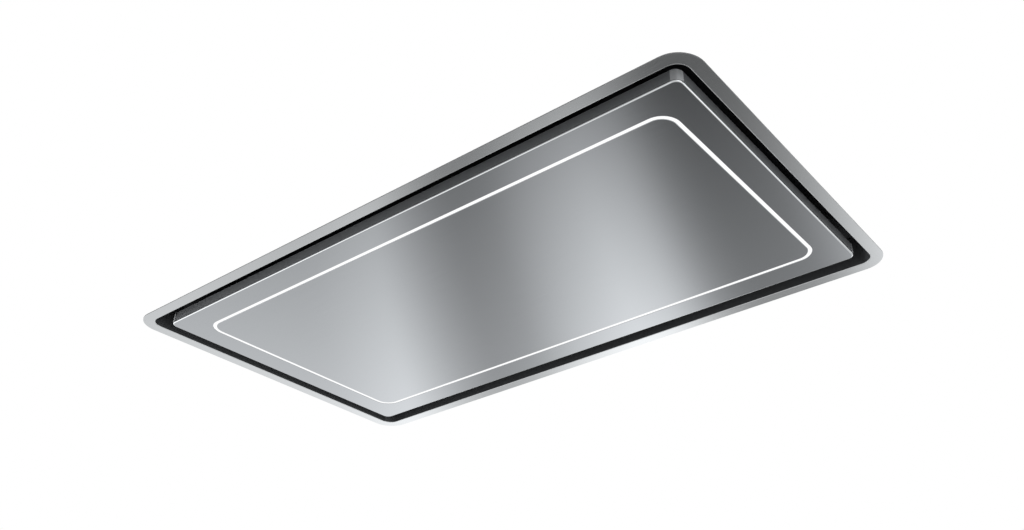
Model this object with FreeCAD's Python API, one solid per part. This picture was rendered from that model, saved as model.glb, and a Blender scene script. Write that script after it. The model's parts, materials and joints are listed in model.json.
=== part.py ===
"""Ceiling range hood with perimeter suction: a brushed steel flange set in the ceiling, a hinged flush panel
with a lit rectangle in it, and above the ceiling a sheet steel case with filters, blower, duct outlet and
controls.

Frame: millimetres, +Z up. The origin is the centre of the ceiling opening, in the plane of the visible
underside: the panel and the flange both end at Z = 0 and everything else is above them. X runs along the
long side and the duct leaves towards +X. Y runs along the short side; the panel hinges at +Y and its
catches are at -Y.
"""

import FreeCAD
import Part

import math
import os

V = FreeCAD.Vector
X_AXIS, Y_AXIS, Z_AXIS = V(1, 0, 0), V(0, 1, 0), V(0, 0, 1)

# ---------------------------------------------------------------- driving dimensions
# Ceiling frame: the visible flange and the upstand folded up from its inner edge.
FLANGE_LENGTH = 910.0
FLANGE_DEPTH = 500.0
FLANGE_WIDTH = 16.0
FLANGE_CORNER = 33.0
FRAME_SHEET = 1.0
FRAME_BEND = 1.5
UPSTAND_HEIGHT = 42.0
GASKET_WIDTH = 8.0
GASKET_THICKNESS = 1.5
GASKET_INSET = 1.5

# Panel: a shallow pan with a lit slot all round, as it hangs in the frame.
SLOT_ENDS = 16.0
SLOT_SIDES = 21.0
PANEL_HEIGHT = 16.0
PANEL_CORNER = 10.0
PANEL_SHEET = 1.0
PANEL_BEND = 1.2
PANEL_LIP = 9.0
LIGHT_INSET = 37.5
LIGHT_WIDTH = 5.5
LIGHT_CORNER = 22.0
LIGHT_FLANGE = 8.0
DIFFUSER_PLAY = 0.1
DIFFUSER_RECESS = 0.2
DIFFUSER_HEIGHT = 8.8
DIFFUSER_HEAD = 0.9
SLOT_BEND = 0.5
CHANNEL_WALL = 1.5
CHANNEL_ROOF = 2.0
CHANNEL_PLAY = 0.25
STRIP_WIDTH = 7.0
STRIP_THICKNESS = 1.0
LED_SIZE = 3.0
LED_HEIGHT = 0.8
LEDS_LONG = 24
LEDS_SHORT = 10
BACKING_SHEET = 1.0
BACKING_INSET = 2.0
STIFFENERS = 3
STIFFENER_WIDTH = 30.0
STIFFENER_ROOM = 25.5
STIFFENER_FOOT = 8.0
STIFFENER_WALL = 1.5
PANEL_SCREW_INSET = 5.5
PANEL_SCREWS_LONG = 3
PANEL_SCREWS_SHORT = 2

# Case: five sheets that stand round the upstand, above the ceiling.
CASE_PLAY = 0.5
CASE_SHEET = 1.0
CASE_FOOT = 6.0
CASE_SCREW_LEVEL = 24.0
CASE_SCREWS_LONG = 3
CASE_SCREWS_SHORT = 2
FOLD_SCREW_LEVELS = (90.0, 160.0)
CASE_HEIGHT = 204.0
FOLD_WIDTH = 14.0
FOLD_START = 60.0
CORNER_RELIEF = 20.0
BEAD_WIDTH = 16.0
BEAD_HEIGHT = 2.5
BEAD_ROUND = 2.0
SIDE_BEADS = 3
SIDE_BEAD_GAP = 54.0
SIDE_BEAD_LEVELS = (95.0, 155.0)
COVER_BEADS = 6
COVER_BEAD_ROOM = 55.5
SIDE_REACH = 50.0

# Hanger brackets: two at each end of the case, with a slotted foot for an 8 mm anchor.
HANGER_SPACING = 380.0
HANGER_WIDTH = 40.0
HANGER_SHEET = 2.0
HANGER_LOW = 120.0
HANGER_TOP = 247.0
HANGER_SLOT_INSET = 24.0
HANGER_SLOT_LENGTH = 18.0
HANGER_SLOT_WIDTH = 9.0
HANGER_SCREW_LEVELS = (142.0, 182.0)
HANGER_SCREW_TRAVEL = 18.0
SCREW_SHANK = 2.5
SCREW_HEAD = 4.8
SCREW_HEAD_HEIGHT = 3.2
SCREW_PLAY = 0.2
NUT_RADIUS = 4.6
NUT_HEIGHT = 4.0

# Filter deck: the sheet that closes the case above the panel and carries the two grease filters.
DECK_SHEET = 1.0
DECK_CLEARANCE = 2.0
DECK_RIM = 12.0
FILTER_SIZE = 300.0
FILTER_GAP = 16.0
FILTER_THICKNESS = 9.0
FILTER_OVERLAP = 7.0
FILTER_BAR = 14.0
FILTER_LATCH_BAR = 20.0
FILTER_CORNER = 3.5
FILTER_RAIL_PLAY = 0.3
MESH_THICKNESS = 3.0
MESH_CELLS = 12
MESH_WIRE = 4.0
MESH_CORNER = 0.5
FILTER_OPENING_CORNER = 6.0
RAIL_SHEET = 1.0
RAIL_FLANGE = 12.0
RAIL_LIP = 8.0
RAIL_OVERRUN = 8.0
RAIL_LATCH_LIP = 4.8
LATCH_WIDTH = 30.0
LATCH_THICKNESS = 2.0
LATCH_LEVEL = 3.0
LATCH_REACH = 5.0
LATCH_BACK = 9.0
LATCH_TRAVEL = 7.0
LATCH_PLAY = 0.3
LATCH_STEM_WIDTH = 10.0
LATCH_STEM_DEPTH = 4.0
LATCH_STEM_INSET = 3.0
LATCH_KNOB_WIDTH = 28.0
LATCH_KNOB_DEPTH = 10.0
LATCH_KNOB_HEIGHT = 7.0
LATCH_KNOB_CORNER = 3.3
LATCH_KNOB_EDGE = 1.4

# Hinges of the panel, at the back edge.
HINGE_RAIL_GAP = 3.0
HINGE_INSET = 8.0
HINGE_LEVEL = 25.0
HINGE_EYE = 5.0
HINGE_PIN = 2.5
HINGE_PIN_PLAY = 0.05
HINGE_EYE_WIDTH = 16.0
HINGE_EAR = 2.5
HINGE_SIDE_PLAY = 0.4
HINGE_BASE = 1.5
HINGE_LEAF_LENGTH = 34.0
HINGE_LEAF_WIDTH = 30.0
HINGE_SCREW_SHARES = (0.4, 0.8)

# Magnet catches and the light's contact block.
CATCH_RAIL_GAP = 3.0
CATCH_INSET = 22.0
CATCH_LENGTH = 42.0
CATCH_DEPTH = 16.0
CATCH_GAP = 0.3
MAGNET_LENGTH = 30.0
MAGNET_DEPTH = 8.0
MAGNET_HEIGHT = 6.0
STRIKE_THICKNESS = 1.2
STRIKE_MARGIN = 3.0
CONTACT_HINGE_GAP = 3.0
CONTACT_INSET = 34.0
CONTACT_LENGTH = 24.0
CONTACT_DEPTH = 14.0
CONTACT_HEIGHT = 6.0

# Blower: a volute lying flat, with the motor hung inside the impeller.
FAN_X = 130.0
FAN_Y = 67.5
SCROLL_LOW = 62.0
SCROLL_INNER_HEIGHT = 100.0
SCROLL_WALL = 2.0
SCROLL_START = 98.0
SCROLL_JOINT = 6.0
MOUTH_REACH = 150.0
MOUTH_WIDTH = 117.0
INLET_RADIUS = 72.0
INLET_WALL = 1.5
INLET_FLARE = 8.0
INLET_NECK = 10.0
MOTOR_OPENING = 54.0
WHEEL_OUTER = 92.0
WHEEL_INNER = 76.0
WHEEL_BLADES = 36
WHEEL_BLADE = 1.2
WHEEL_SWEEP = 7.0
WHEEL_CURVE = 3.0
WHEEL_PLATE = 2.0
WHEEL_GAP = 6.0
WHEEL_HEIGHT = 88.0
DRUM_RADIUS = 52.0
DRUM_DROP = 60.0
HUB_RADIUS = 9.0
HUB_LENGTH = 14.0
MOTOR_RADIUS = 44.0
MOTOR_HEIGHT = 64.0
MOTOR_WALL = 2.0
SHAFT_RADIUS = 4.0
SHAFT_PLAY = 0.05
BEARING_RADIUS = 11.0
BEARING_HEIGHT = 7.0
STATOR_INNER = 24.0
STATOR_HEIGHT = 40.0
STATOR_GAP = 4.0
ROTOR_GAP = 0.5
SPIDER_SHEET = 2.0
SPIDER_DISC = 48.0
SPIDER_ARMS = 4
SPIDER_ARM_TURN = 45.0
SPIDER_ARM_WIDTH = 18.0
SPIDER_ARM_REACH = 84.0
SPIDER_SCREW_PLACE = 76.0
GROMMET_RADIUS = 7.0
GROMMET_HEIGHT = 4.0
BLOWER_RAIL_OFFSET = 94.0
BLOWER_RAIL_WIDTH = 20.0
BLOWER_RAIL_FOOT = 8.0
BLOWER_RAIL_SHEET = 1.5
BLOWER_RAIL_FRONT_ROOM = 30.0
BLOWER_RAIL_BACK_ROOM = 43.5

# Duct outlet: adapter, collar and the pair of non-return flaps.
DUCT_RADIUS = 74.5
DUCT_LEVEL = 124.0
DUCT_PLACE_Y = 0.0
COLLAR_WALL = 1.5
COLLAR_INWARD = 9.0
COLLAR_PLATE = 156.0
COLLAR_PLATE_SHEET = 2.0
COLLAR_PLATE_CORNER = 10.0
COLLAR_SCREW_PLACE = 69.0
COLLAR_HOLE_PLAY = 0.5
ADAPTER_WALL = 1.5
ADAPTER_PLAY = 0.3
ADAPTER_OVERLAP = 14.0
ADAPTER_FLAT = 0.15
FLAP_PLACE = 20.0
FLAP_SHEET = 1.2
FLAP_PLAY = 2.0
FLAP_STOP = 4.0
FLAP_STOP_SHEET = 1.5
FLAP_STOP_GAP = 0.3
FLAP_PIN = 1.5
FLAP_PIN_PLAY = 0.06
FLAP_KNUCKLE = 3.2
FLAP_SPLIT = 4.5
FLAP_KNUCKLE_LENGTH = 20.0
FLAP_KNUCKLES = (-58.0, 16.0)
FLAP_KNUCKLE_STEP = 22.0

# Electrical parts on the deck.
CONTROL_LENGTH = 110.0
CONTROL_SIDE_ROOM = 115.5
CONTROL_HEIGHT = 66.0
CONTROL_WALL = 1.5
CONTROL_END_GAP = 10.0
BOARD_INSET = 8.0
BOARD_THICKNESS = 1.6
BOARD_LEVEL = 10.0
BOARD_POST = 4.0
TRANSFORMER_SIZE = (34.0, 40.0, 28.0)
TRANSFORMER_SHARES = (-0.22, -0.32)
RELAY_SIZE = (26.0, 30.0, 18.0)
RELAY_SHARES = ((0.22, -0.32), (0.22, -0.14))
TERMINALS_SIZE = (18.0, 60.0, 20.0)
TERMINALS_SHARES = (0.31, 0.27)
FUSE_SIZE = (30.0, 16.0, 12.0)
FUSE_SHARES = (-0.26, 0.09)
DRIVER_LENGTH = 110.0
DRIVER_DEPTH = 46.0
DRIVER_HEIGHT = 30.0
CAPACITOR_RADIUS = 17.5
CAPACITOR_HEIGHT = 68.0
CAPACITOR_X = -200.0
CAPACITOR_LEAD_GAP = 6.0
CAPACITOR_EDGE = 2.0
GLAND_LEVEL = 88.0
GLAND_PLACE_Y = 0.0
GLAND_BORE = 4.0
GLAND_THREAD = 8.0
GLAND_HEX = 12.0
GLAND_HEX_LENGTH = 6.0
GLAND_CAP_RADIUS = 10.0
GLAND_CAP_LENGTH = 14.0
GLAND_CAP_ROUND = 3.3
GLAND_LOCKNUT = 5.0
GLAND_PLAY = 0.2
LEAD_RADIUS = 3.0
LEAD_BEND = 40.0
LEAD_BEND_SHARE = 0.45
LEAD_EXIT_OFFSET = 35.5
LEAD_SIDE_ROOM = 23.5
LEAD_PLAY = 0.3
PLUG_LENGTH = 22.0
PLUG_WIDTH = 24.0
PLUG_HEIGHT = 16.0
LIGHT_LEAD_RADIUS = 1.5
LIGHT_LEAD_BEND = 8.0
LIGHT_LEAD_LEVEL = 66.0
LIGHT_LEAD_HOLE = 4.0

# Fasteners.
SMALL_SHANK = 1.6
SMALL_HEAD = 3.5
SMALL_HEAD_HEIGHT = 1.6
SMALL_HEAD_ROUND = 1.0
COVER_SCREWS_LONG = 6
COVER_SCREWS_SHORT = 3
COVER_SCREW_INSET = 7.0

# Limits for the shapes: the least corner of a band, the flat left at a slot's round end, and how near
# a level an edge must lie to be picked.
LEAST_CORNER = 0.2
SLOT_END_FLAT = 0.001
EDGE_TOLERANCE = 0.01

# ---------------------------------------------------------------- sizes that follow
OPENING_LENGTH = FLANGE_LENGTH - 2 * FLANGE_WIDTH
OPENING_DEPTH = FLANGE_DEPTH - 2 * FLANGE_WIDTH
OPENING_CORNER = FLANGE_CORNER - FLANGE_WIDTH
PANEL_LENGTH = OPENING_LENGTH - 2 * SLOT_ENDS
PANEL_DEPTH = OPENING_DEPTH - 2 * SLOT_SIDES
LIGHT_LENGTH = PANEL_LENGTH - 2 * LIGHT_INSET
LIGHT_DEPTH = PANEL_DEPTH - 2 * LIGHT_INSET
BACKING_TOP = PANEL_HEIGHT + BACKING_SHEET
CASE_X = OPENING_LENGTH / 2 + FRAME_SHEET + CASE_PLAY
CASE_Y = OPENING_DEPTH / 2 + FRAME_SHEET + CASE_PLAY
COVER_LOW = CASE_HEIGHT - CASE_SHEET
DECK_LOW = UPSTAND_HEIGHT + DECK_CLEARANCE
DECK_TOP = DECK_LOW + DECK_SHEET
FILTER_LOW = DECK_LOW - FILTER_THICKNESS
BACKING_LENGTH = PANEL_LENGTH - 2 * BACKING_INSET
BACKING_DEPTH = PANEL_DEPTH - 2 * BACKING_INSET
RAIL_END = FILTER_SIZE + FILTER_GAP / 2 + RAIL_OVERRUN
HINGE_X = RAIL_END + HINGE_RAIL_GAP + HINGE_LEAF_WIDTH / 2
HINGE_Y = PANEL_DEPTH / 2 - HINGE_INSET
CATCH_X = RAIL_END + CATCH_RAIL_GAP + CATCH_LENGTH / 2
CATCH_Y = -PANEL_DEPTH / 2 + CATCH_INSET
CONTACT_X = -HINGE_X - HINGE_LEAF_WIDTH / 2 - CONTACT_HINGE_GAP - CONTACT_LENGTH / 2
CONTACT_Y = PANEL_DEPTH / 2 - CONTACT_INSET
SCROLL_TOP = SCROLL_LOW + SCROLL_INNER_HEIGHT + 2 * SCROLL_WALL
SCROLL_FLOOR = SCROLL_LOW + SCROLL_WALL
SCROLL_MIDDLE = (SCROLL_LOW + SCROLL_TOP) / 2
MOUTH_BACK = DUCT_PLACE_Y + MOUTH_WIDTH / 2 - FAN_Y
SCROLL_END = FAN_Y - DUCT_PLACE_Y + MOUTH_WIDTH / 2
SCROLL_TURN = 270.0
MOUTH_X = FAN_X + MOUTH_REACH
WHEEL_LOW = SCROLL_FLOOR + WHEEL_GAP
WHEEL_TOP = WHEEL_LOW + WHEEL_HEIGHT
DRUM_FLOOR = WHEEL_TOP - DRUM_DROP
SPIDER_LOW = SCROLL_TOP + GROMMET_HEIGHT
MOTOR_TOP = SPIDER_LOW + SPIDER_SHEET
MOTOR_LOW = MOTOR_TOP - MOTOR_HEIGHT
CASE_END = CASE_X + CASE_SHEET
CASE_SIDE = CASE_Y + CASE_SHEET
FLAP_X = CASE_END + FLAP_PLACE
STRIKE_TOP = BACKING_TOP + STRIKE_THICKNESS
LATCH_LOW = FILTER_LOW + LATCH_LEVEL
LATCH_TIP = -FILTER_SIZE / 2 - LATCH_REACH
SHAFT_LOW = DRUM_FLOOR - HUB_LENGTH
CONTROL_X = -CASE_X + CONTROL_END_GAP + CONTROL_LENGTH / 2
CONTROL_DEPTH = 2 * (CASE_Y - CONTROL_SIDE_ROOM)
DRIVER_Y = -(CASE_Y + CONTROL_DEPTH / 2) / 2
LEAD_EXIT_X = CONTROL_X + LEAD_EXIT_OFFSET
LEAD_RUN_Y = CASE_Y - LEAD_SIDE_ROOM
CAPACITOR_Y = LEAD_RUN_Y - LEAD_RADIUS - CAPACITOR_LEAD_GAP - CAPACITOR_RADIUS
BLOWER_RAIL_FRONT = -CASE_Y + BLOWER_RAIL_FRONT_ROOM
BLOWER_RAIL_BACK = CASE_Y - BLOWER_RAIL_BACK_ROOM


# ---------------------------------------------------------------- shapes
def box(x0, x1, y0, y1, z0, z1):
    """A block between two corners."""
    return Part.makeBox(x1 - x0, y1 - y0, z1 - z0, V(x0, y0, z0))


def block(length, depth, height, centre, low):
    """A block centred on a plan point, from a level upwards."""
    x, y = centre
    return box(x - length / 2, x + length / 2, y - depth / 2, y + depth / 2, low, low + height)


def rod(radius, length, start, axis=Z_AXIS):
    """A round bar from a start point along an axis."""
    return Part.makeCylinder(radius, length, V(*start), axis)


def ring(outer, inner, length, start, axis=Z_AXIS):
    """A tube from a start point along an axis."""
    return rod(outer, length, start, axis).cut(rod(inner, length, start, axis))


def outline(length, depth, corner, level=0.0, centre=(0.0, 0.0)):
    """A rectangle with round corners, as a closed wire in a level plane."""
    x, y = length / 2, depth / 2
    middle = corner * (1 - math.sqrt(0.5))
    corners = (
        (V(x - corner, -y, 0), V(x - middle, -y + middle, 0), V(x, -y + corner, 0)),
        (V(x, y - corner, 0), V(x - middle, y - middle, 0), V(x - corner, y, 0)),
        (V(-x + corner, y, 0), V(-x + middle, y - middle, 0), V(-x, y - corner, 0)),
        (V(-x, -y + corner, 0), V(-x + middle, -y + middle, 0), V(-x + corner, -y, 0)),
    )
    edges = []
    for index, (begin, bulge, end) in enumerate(corners):
        edges.append(Part.Arc(begin, bulge, end).toShape())
        edges.append(Part.makeLine(end, corners[(index + 1) % 4][0]))
    wire = Part.Wire(edges)
    wire.translate(V(centre[0], centre[1], level))
    return wire


def slab(length, depth, corner, low, high, centre=(0.0, 0.0)):
    """A flat plate with round corners between two levels."""
    return Part.Face(outline(length, depth, corner, low, centre)).extrude(V(0, 0, high - low))


def band(length, depth, corner, inward, low, high, centre=(0.0, 0.0)):
    """A closed rectangular band whose outside has the given size and whose wall lies inward of it."""
    inner_corner = max(corner - inward, LEAST_CORNER)
    inside = slab(length - 2 * inward, depth - 2 * inward, inner_corner, low, high, centre)
    return slab(length, depth, corner, low, high, centre).cut(inside)


def slot(length, width, low, high, centre, turned=False):
    """A round-ended slot along X, or along Y when turned."""
    size = (width, length) if turned else (length, width)
    return slab(*size, width / 2 - SLOT_END_FLAT, low, high, centre)


def fillet_where(solid, radius, chosen):
    """The solid with the edges that the test picks rounded."""
    return solid.makeFillet(radius, [edge for edge in solid.Edges if chosen(edge)])


def on_outline(level, length, depth, corner):
    """A test for flat edges at a level along the line of a round-cornered rectangle."""

    def chosen(edge):
        bounds = edge.BoundBox
        flat = abs(bounds.ZMin - level) < EDGE_TOLERANCE and abs(bounds.ZMax - level) < EDGE_TOLERANCE
        middle = edge.valueAt((edge.FirstParameter + edge.LastParameter) / 2)
        reach = max(abs(middle.x) - length / 2, abs(middle.y) - depth / 2)
        return flat and -corner / 2 < reach < EDGE_TOLERANCE

    return chosen


def turned(solid, angle, centre, axis=Z_AXIS):
    """A copy turned about an axis through a point."""
    copy = solid.copy()
    copy.rotate(V(*centre), axis, angle)
    return copy


def moved(solid, x=0.0, y=0.0, z=0.0):
    """A shifted copy."""
    copy = solid.copy()
    copy.translate(V(x, y, z))
    return copy


def mirrored(solid, axis=X_AXIS):
    """A copy mirrored in the plane through the origin that is square to an axis."""
    return solid.mirror(V(0, 0, 0), axis)


def export(name, *solids):
    """Writes one node: a single piece, or a group of separate pieces."""
    shape = solids[0] if len(solids) == 1 else Part.makeCompound(list(solids))
    shape.exportStep(os.path.join("parts", name + ".step"))


def cable(points, radius, largest):
    """A round lead along straight runs joined by arcs as large as the runs and the largest bend allow."""
    path = []
    here = V(*points[0])
    for before, corner, after in zip(points, points[1:], points[2:]):
        turn, back, ahead = V(*corner), V(*before) - V(*corner), V(*after) - V(*corner)
        shorter = min(back.Length, ahead.Length)
        back.normalize()
        ahead.normalize()
        half = back.getAngle(ahead) / 2
        bend = min(largest, LEAD_BEND_SHARE * shorter * math.tan(half))
        reach = bend / math.tan(half)
        inward = back + ahead
        inward.normalize()
        begin, end = turn + back * reach, turn + ahead * reach
        bulge = turn + inward * (bend / math.sin(half) - bend)
        path.append(Part.makeLine(here, begin))
        path.append(Part.Arc(begin, bulge, end).toShape())
        print("lead bend, mm:", round(bend, 1))
        here = end
    path.append(Part.makeLine(here, V(*points[-1])))
    start = V(*points[0])
    section = Part.Wire(Part.makeCircle(radius, start, V(*points[1]) - start))
    route = Part.Wire(path)
    tube = route.makePipeShell([section], True, False)
    swept = math.pi * radius**2 * route.Length
    print("lead volume and section times length, mm3:", round(tube.Volume), round(swept))
    return tube


def small_screw(place, out=Z_AXIS, grip=3.0):
    """A pan-head sheet screw: its head stands on a surface and its shank goes in against the out axis."""
    seat = V(*place)
    head = Part.makeCylinder(SMALL_HEAD, SMALL_HEAD_HEIGHT, seat, out)
    head = fillet_where(head, SMALL_HEAD_ROUND, lambda edge: is_far_rim(edge, seat, out))
    shank = Part.makeCylinder(SMALL_SHANK, grip, seat - out * grip, out)
    return head.fuse(shank)


def is_far_rim(edge, seat, out):
    """Whether an edge is the circle round a screw head's outer end."""
    return edge.Closed and (edge.CenterOfMass - seat).dot(out) > SMALL_HEAD_HEIGHT / 2


def screw_hole(place, out=Z_AXIS, depth=8.0):
    """The clearance hole for a small screw's shank, through whatever is within its depth either way."""
    seat = V(*place)
    return Part.makeCylinder(SMALL_SHANK + SCREW_PLAY, 2 * depth, seat - out * depth, out)


def hexagon(across, height, start, axis):
    """A six-sided bar, across its corners, from a start point along an axis."""
    prism = Part.Face(Part.makePolygon([
        V(across * math.cos(math.radians(60 * k)), across * math.sin(math.radians(60 * k)), 0)
        for k in range(7)
    ])).extrude(V(0, 0, height))
    prism.Placement = FreeCAD.Placement(V(*start), FreeCAD.Rotation(Z_AXIS, axis))
    return prism


def spread(count, span):
    """Evenly spaced places, half a step in from both ends of a span that is centred on zero."""
    return [span * ((index + 0.5) / count - 0.5) for index in range(count)]


def pierced(solid, screws):
    """The solid with a clearance hole for each screw, given as pairs of place and outward axis."""
    for place, out in screws:
        solid = solid.cut(screw_hole(place, out))
    return solid


def hat(width, foot, height, wall, length, centre, low):
    """A top-hat section that runs along Y, standing on its two feet."""
    x, y = centre
    crown = block(width, length, height, centre, low)
    hollow = block(width - 2 * wall, length, height - wall, centre, low)
    feet = block(width + 2 * foot, length, wall, centre, low)
    return crown.fuse(feet).cut(hollow)


def on_wall(solid, place, out):
    """A solid made round the Z axis at the origin, placed on a wall so that Z points out of it."""
    copy = solid.copy()
    copy.Placement = FreeCAD.Placement(V(*place), FreeCAD.Rotation(Z_AXIS, out))
    return copy


def pressed(sheet, places, out, length, along_y):
    """The sheet with round-ended ribs pressed outwards at places on its outer face."""
    outer = slot(length, BEAD_WIDTH, 0, BEAD_HEIGHT, (0, 0), along_y)
    top = BEAD_HEIGHT - EDGE_TOLERANCE
    outer = fillet_where(outer, BEAD_ROUND, lambda edge: edge.BoundBox.ZMin > top)
    narrow = BEAD_WIDTH - 2 * CASE_SHEET
    inside = BEAD_HEIGHT - CASE_SHEET
    inner = slot(length - 2 * CASE_SHEET, narrow, -CASE_SHEET, inside, (0, 0), along_y)
    for place in places:
        sheet = sheet.fuse(on_wall(outer, place, out)).cut(on_wall(inner, place, out))
    return sheet


# ---------------------------------------------------------------- ceiling frame
def ceiling_frame():
    """The flange that shows, with the upstand folded up from its inner edge."""
    flange = slab(FLANGE_LENGTH, FLANGE_DEPTH, FLANGE_CORNER, 0, FRAME_SHEET)
    opening = slab(OPENING_LENGTH, OPENING_DEPTH, OPENING_CORNER, 0, UPSTAND_HEIGHT)
    stand = slab(
        OPENING_LENGTH + 2 * FRAME_SHEET,
        OPENING_DEPTH + 2 * FRAME_SHEET,
        OPENING_CORNER + FRAME_SHEET,
        0,
        UPSTAND_HEIGHT,
    )
    frame = flange.fuse(stand).cut(opening).removeSplitter()
    bend = on_outline(0, OPENING_LENGTH, OPENING_DEPTH, OPENING_CORNER)
    return pierced(fillet_where(frame, FRAME_BEND, bend), frame_screws())


def flange_gasket():
    """The foam strip between the flange and the ceiling."""
    return band(
        FLANGE_LENGTH - 2 * GASKET_INSET,
        FLANGE_DEPTH - 2 * GASKET_INSET,
        FLANGE_CORNER - GASKET_INSET,
        GASKET_WIDTH,
        FRAME_SHEET,
        FRAME_SHEET + GASKET_THICKNESS,
    )


# ---------------------------------------------------------------- case
def frame_screws():
    """Where the case is screwed to the upstand, with the axis out of the case."""
    screws = []
    for side in (-1, 1):
        for x in spread(CASE_SCREWS_LONG, 2 * CASE_X):
            screws.append(((x, side * CASE_SIDE, CASE_SCREW_LEVEL), Y_AXIS * side))
        for y in spread(CASE_SCREWS_SHORT, 2 * CASE_Y):
            screws.append(((side * CASE_END, y, CASE_SCREW_LEVEL), X_AXIS * side))
    return screws


def deck_screws():
    """Where the deck's rim is screwed to the long sheets of the case."""
    level = DECK_TOP + DECK_RIM / 2
    return [
        ((x, side * CASE_SIDE, level), Y_AXIS * side)
        for side in (-1, 1)
        for x in spread(CASE_SCREWS_LONG, 2 * CASE_X)
    ]


def fold_screws():
    """Where the long sheets are screwed to the folds of the end sheets."""
    place = CASE_X - FOLD_WIDTH / 2
    return [
        ((x, side * CASE_SIDE, level), Y_AXIS * side)
        for side in (-1, 1)
        for x in (-place, place)
        for level in FOLD_SCREW_LEVELS
    ]


def cover_screws():
    """Where the cover is screwed down on the folds of the case."""
    screws = []
    for side in (-1, 1):
        for x in spread(COVER_SCREWS_LONG, 2 * CASE_X):
            screws.append(((x, side * (CASE_Y - COVER_SCREW_INSET), CASE_HEIGHT), Z_AXIS))
        for y in spread(COVER_SCREWS_SHORT, 2 * CASE_Y):
            screws.append(((side * (CASE_X - COVER_SCREW_INSET), y, CASE_HEIGHT), Z_AXIS))
    return screws


def side_sheet():
    """The long sheet at -Y, folded in along its top, with pressed ribs."""
    wall = box(-CASE_END, CASE_END, -CASE_SIDE, -CASE_Y, CASE_FOOT, COVER_LOW)
    relief = CASE_X - CORNER_RELIEF
    fold = box(-relief, relief, -CASE_Y, -CASE_Y + FOLD_WIDTH, COVER_LOW - CASE_SHEET, COVER_LOW)
    columns = spread(SIDE_BEADS, 2 * CASE_X)
    places = [(x, -CASE_SIDE, level) for x in columns for level in SIDE_BEAD_LEVELS]
    length = 2 * CASE_X / SIDE_BEADS - SIDE_BEAD_GAP
    sheet = pressed(wall.fuse(fold), places, -Y_AXIS, length, False)
    return pierced(sheet, frame_screws() + deck_screws() + fold_screws() + cover_screws())


def end_sheet():
    """The short sheet at -X, folded in along its top and both upright edges."""
    sheet = box(-CASE_END, -CASE_X, -CASE_Y, CASE_Y, CASE_FOOT, COVER_LOW)
    relief = CASE_Y - CORNER_RELIEF
    inner = -CASE_X + FOLD_WIDTH
    sheet = sheet.fuse(box(-CASE_X, inner, -relief, relief, COVER_LOW - CASE_SHEET, COVER_LOW))
    fold = box(-CASE_X, inner, -CASE_Y, -CASE_Y + CASE_SHEET, FOLD_START, COVER_LOW)
    sheet = sheet.fuse(fold).fuse(mirrored(fold, Y_AXIS))
    for place, out in hanger_screw_places():
        sheet = sheet.cut(rod(SCREW_SHANK + SCREW_PLAY, 4 * CASE_SHEET, place, -out))
    return pierced(sheet, frame_screws() + fold_screws() + cover_screws())


def case_left():
    """The short sheet with the hole for the cable gland."""
    place = (-CASE_END, GLAND_PLACE_Y, GLAND_LEVEL)
    return end_sheet().cut(rod(GLAND_THREAD + GLAND_PLAY, 4 * CASE_SHEET, place, X_AXIS))


def case_right():
    """The short sheet with the hole for the duct."""
    place = (CASE_X, DUCT_PLACE_Y, DUCT_LEVEL)
    hole = rod(DUCT_RADIUS + COLLAR_HOLE_PLAY, 4 * CASE_SHEET, place, X_AXIS)
    return pierced(mirrored(end_sheet()).cut(hole), collar_screws())


def case_cover():
    """The flat lid of the case, stiffened by pressed ribs."""
    sheet = box(-CASE_END, CASE_END, -CASE_SIDE, CASE_SIDE, COVER_LOW, CASE_HEIGHT)
    places = [(x, 0, CASE_HEIGHT) for x in spread(COVER_BEADS, 2 * CASE_X)]
    length = 2 * (CASE_Y - COVER_BEAD_ROOM)
    return pierced(pressed(sheet, places, Z_AXIS, length, True), cover_screws())


# ---------------------------------------------------------------- hanger brackets
def hanger_screw_places():
    """Where the screws of the brackets go through both end sheets, with the axis outwards."""
    return [
        ((side * (CASE_END + HANGER_SHEET), y, level), X_AXIS * side)
        for side in (-1, 1)
        for y in (-HANGER_SPACING / 2, HANGER_SPACING / 2)
        for level in HANGER_SCREW_LEVELS
    ]


def hanger_bracket():
    """The angle at +X and +Y, with a slotted foot and slots that let the height be set."""
    y = HANGER_SPACING / 2
    low, high = y - HANGER_WIDTH / 2, y + HANGER_WIDTH / 2
    leg = box(CASE_END, CASE_END + HANGER_SHEET, low, high, HANGER_LOW, HANGER_TOP)
    foot_low = HANGER_TOP - HANGER_SHEET
    foot = box(CASE_END, CASE_END + SIDE_REACH, low, high, foot_low, HANGER_TOP)
    centre = (CASE_END + HANGER_SLOT_INSET, y)
    foot = foot.cut(slot(HANGER_SLOT_LENGTH, HANGER_SLOT_WIDTH, foot_low, HANGER_TOP, centre))
    width = 2 * (SCREW_SHANK + SCREW_PLAY)
    for level in HANGER_SCREW_LEVELS:
        cut = slot(HANGER_SCREW_TRAVEL + width, width, 0, HANGER_SHEET, (0, 0))
        leg = leg.cut(on_wall(cut, (CASE_END, y, level), X_AXIS))
    return leg.fuse(foot)


def hanger_brackets():
    """The four brackets, two at each end."""
    first = hanger_bracket()
    pair = [first, mirrored(first, Y_AXIS)]
    return pair + [mirrored(bracket) for bracket in pair]


def hanger_screws():
    """The screws that hold the brackets, with their nuts inside the case."""
    pieces = []
    reach = HANGER_SHEET + CASE_SHEET + NUT_HEIGHT
    for place, out in hanger_screw_places():
        seat = V(*place)
        start = seat - out * reach
        head = Part.makeCylinder(SCREW_HEAD, SCREW_HEAD_HEIGHT, seat, out)
        pieces.append(head.fuse(Part.makeCylinder(SCREW_SHANK, reach, start, out)))
        nut = hexagon(NUT_RADIUS, NUT_HEIGHT, start, out)
        pieces.append(nut.cut(Part.makeCylinder(SCREW_SHANK, NUT_HEIGHT, start, out)))
    return pieces


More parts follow.
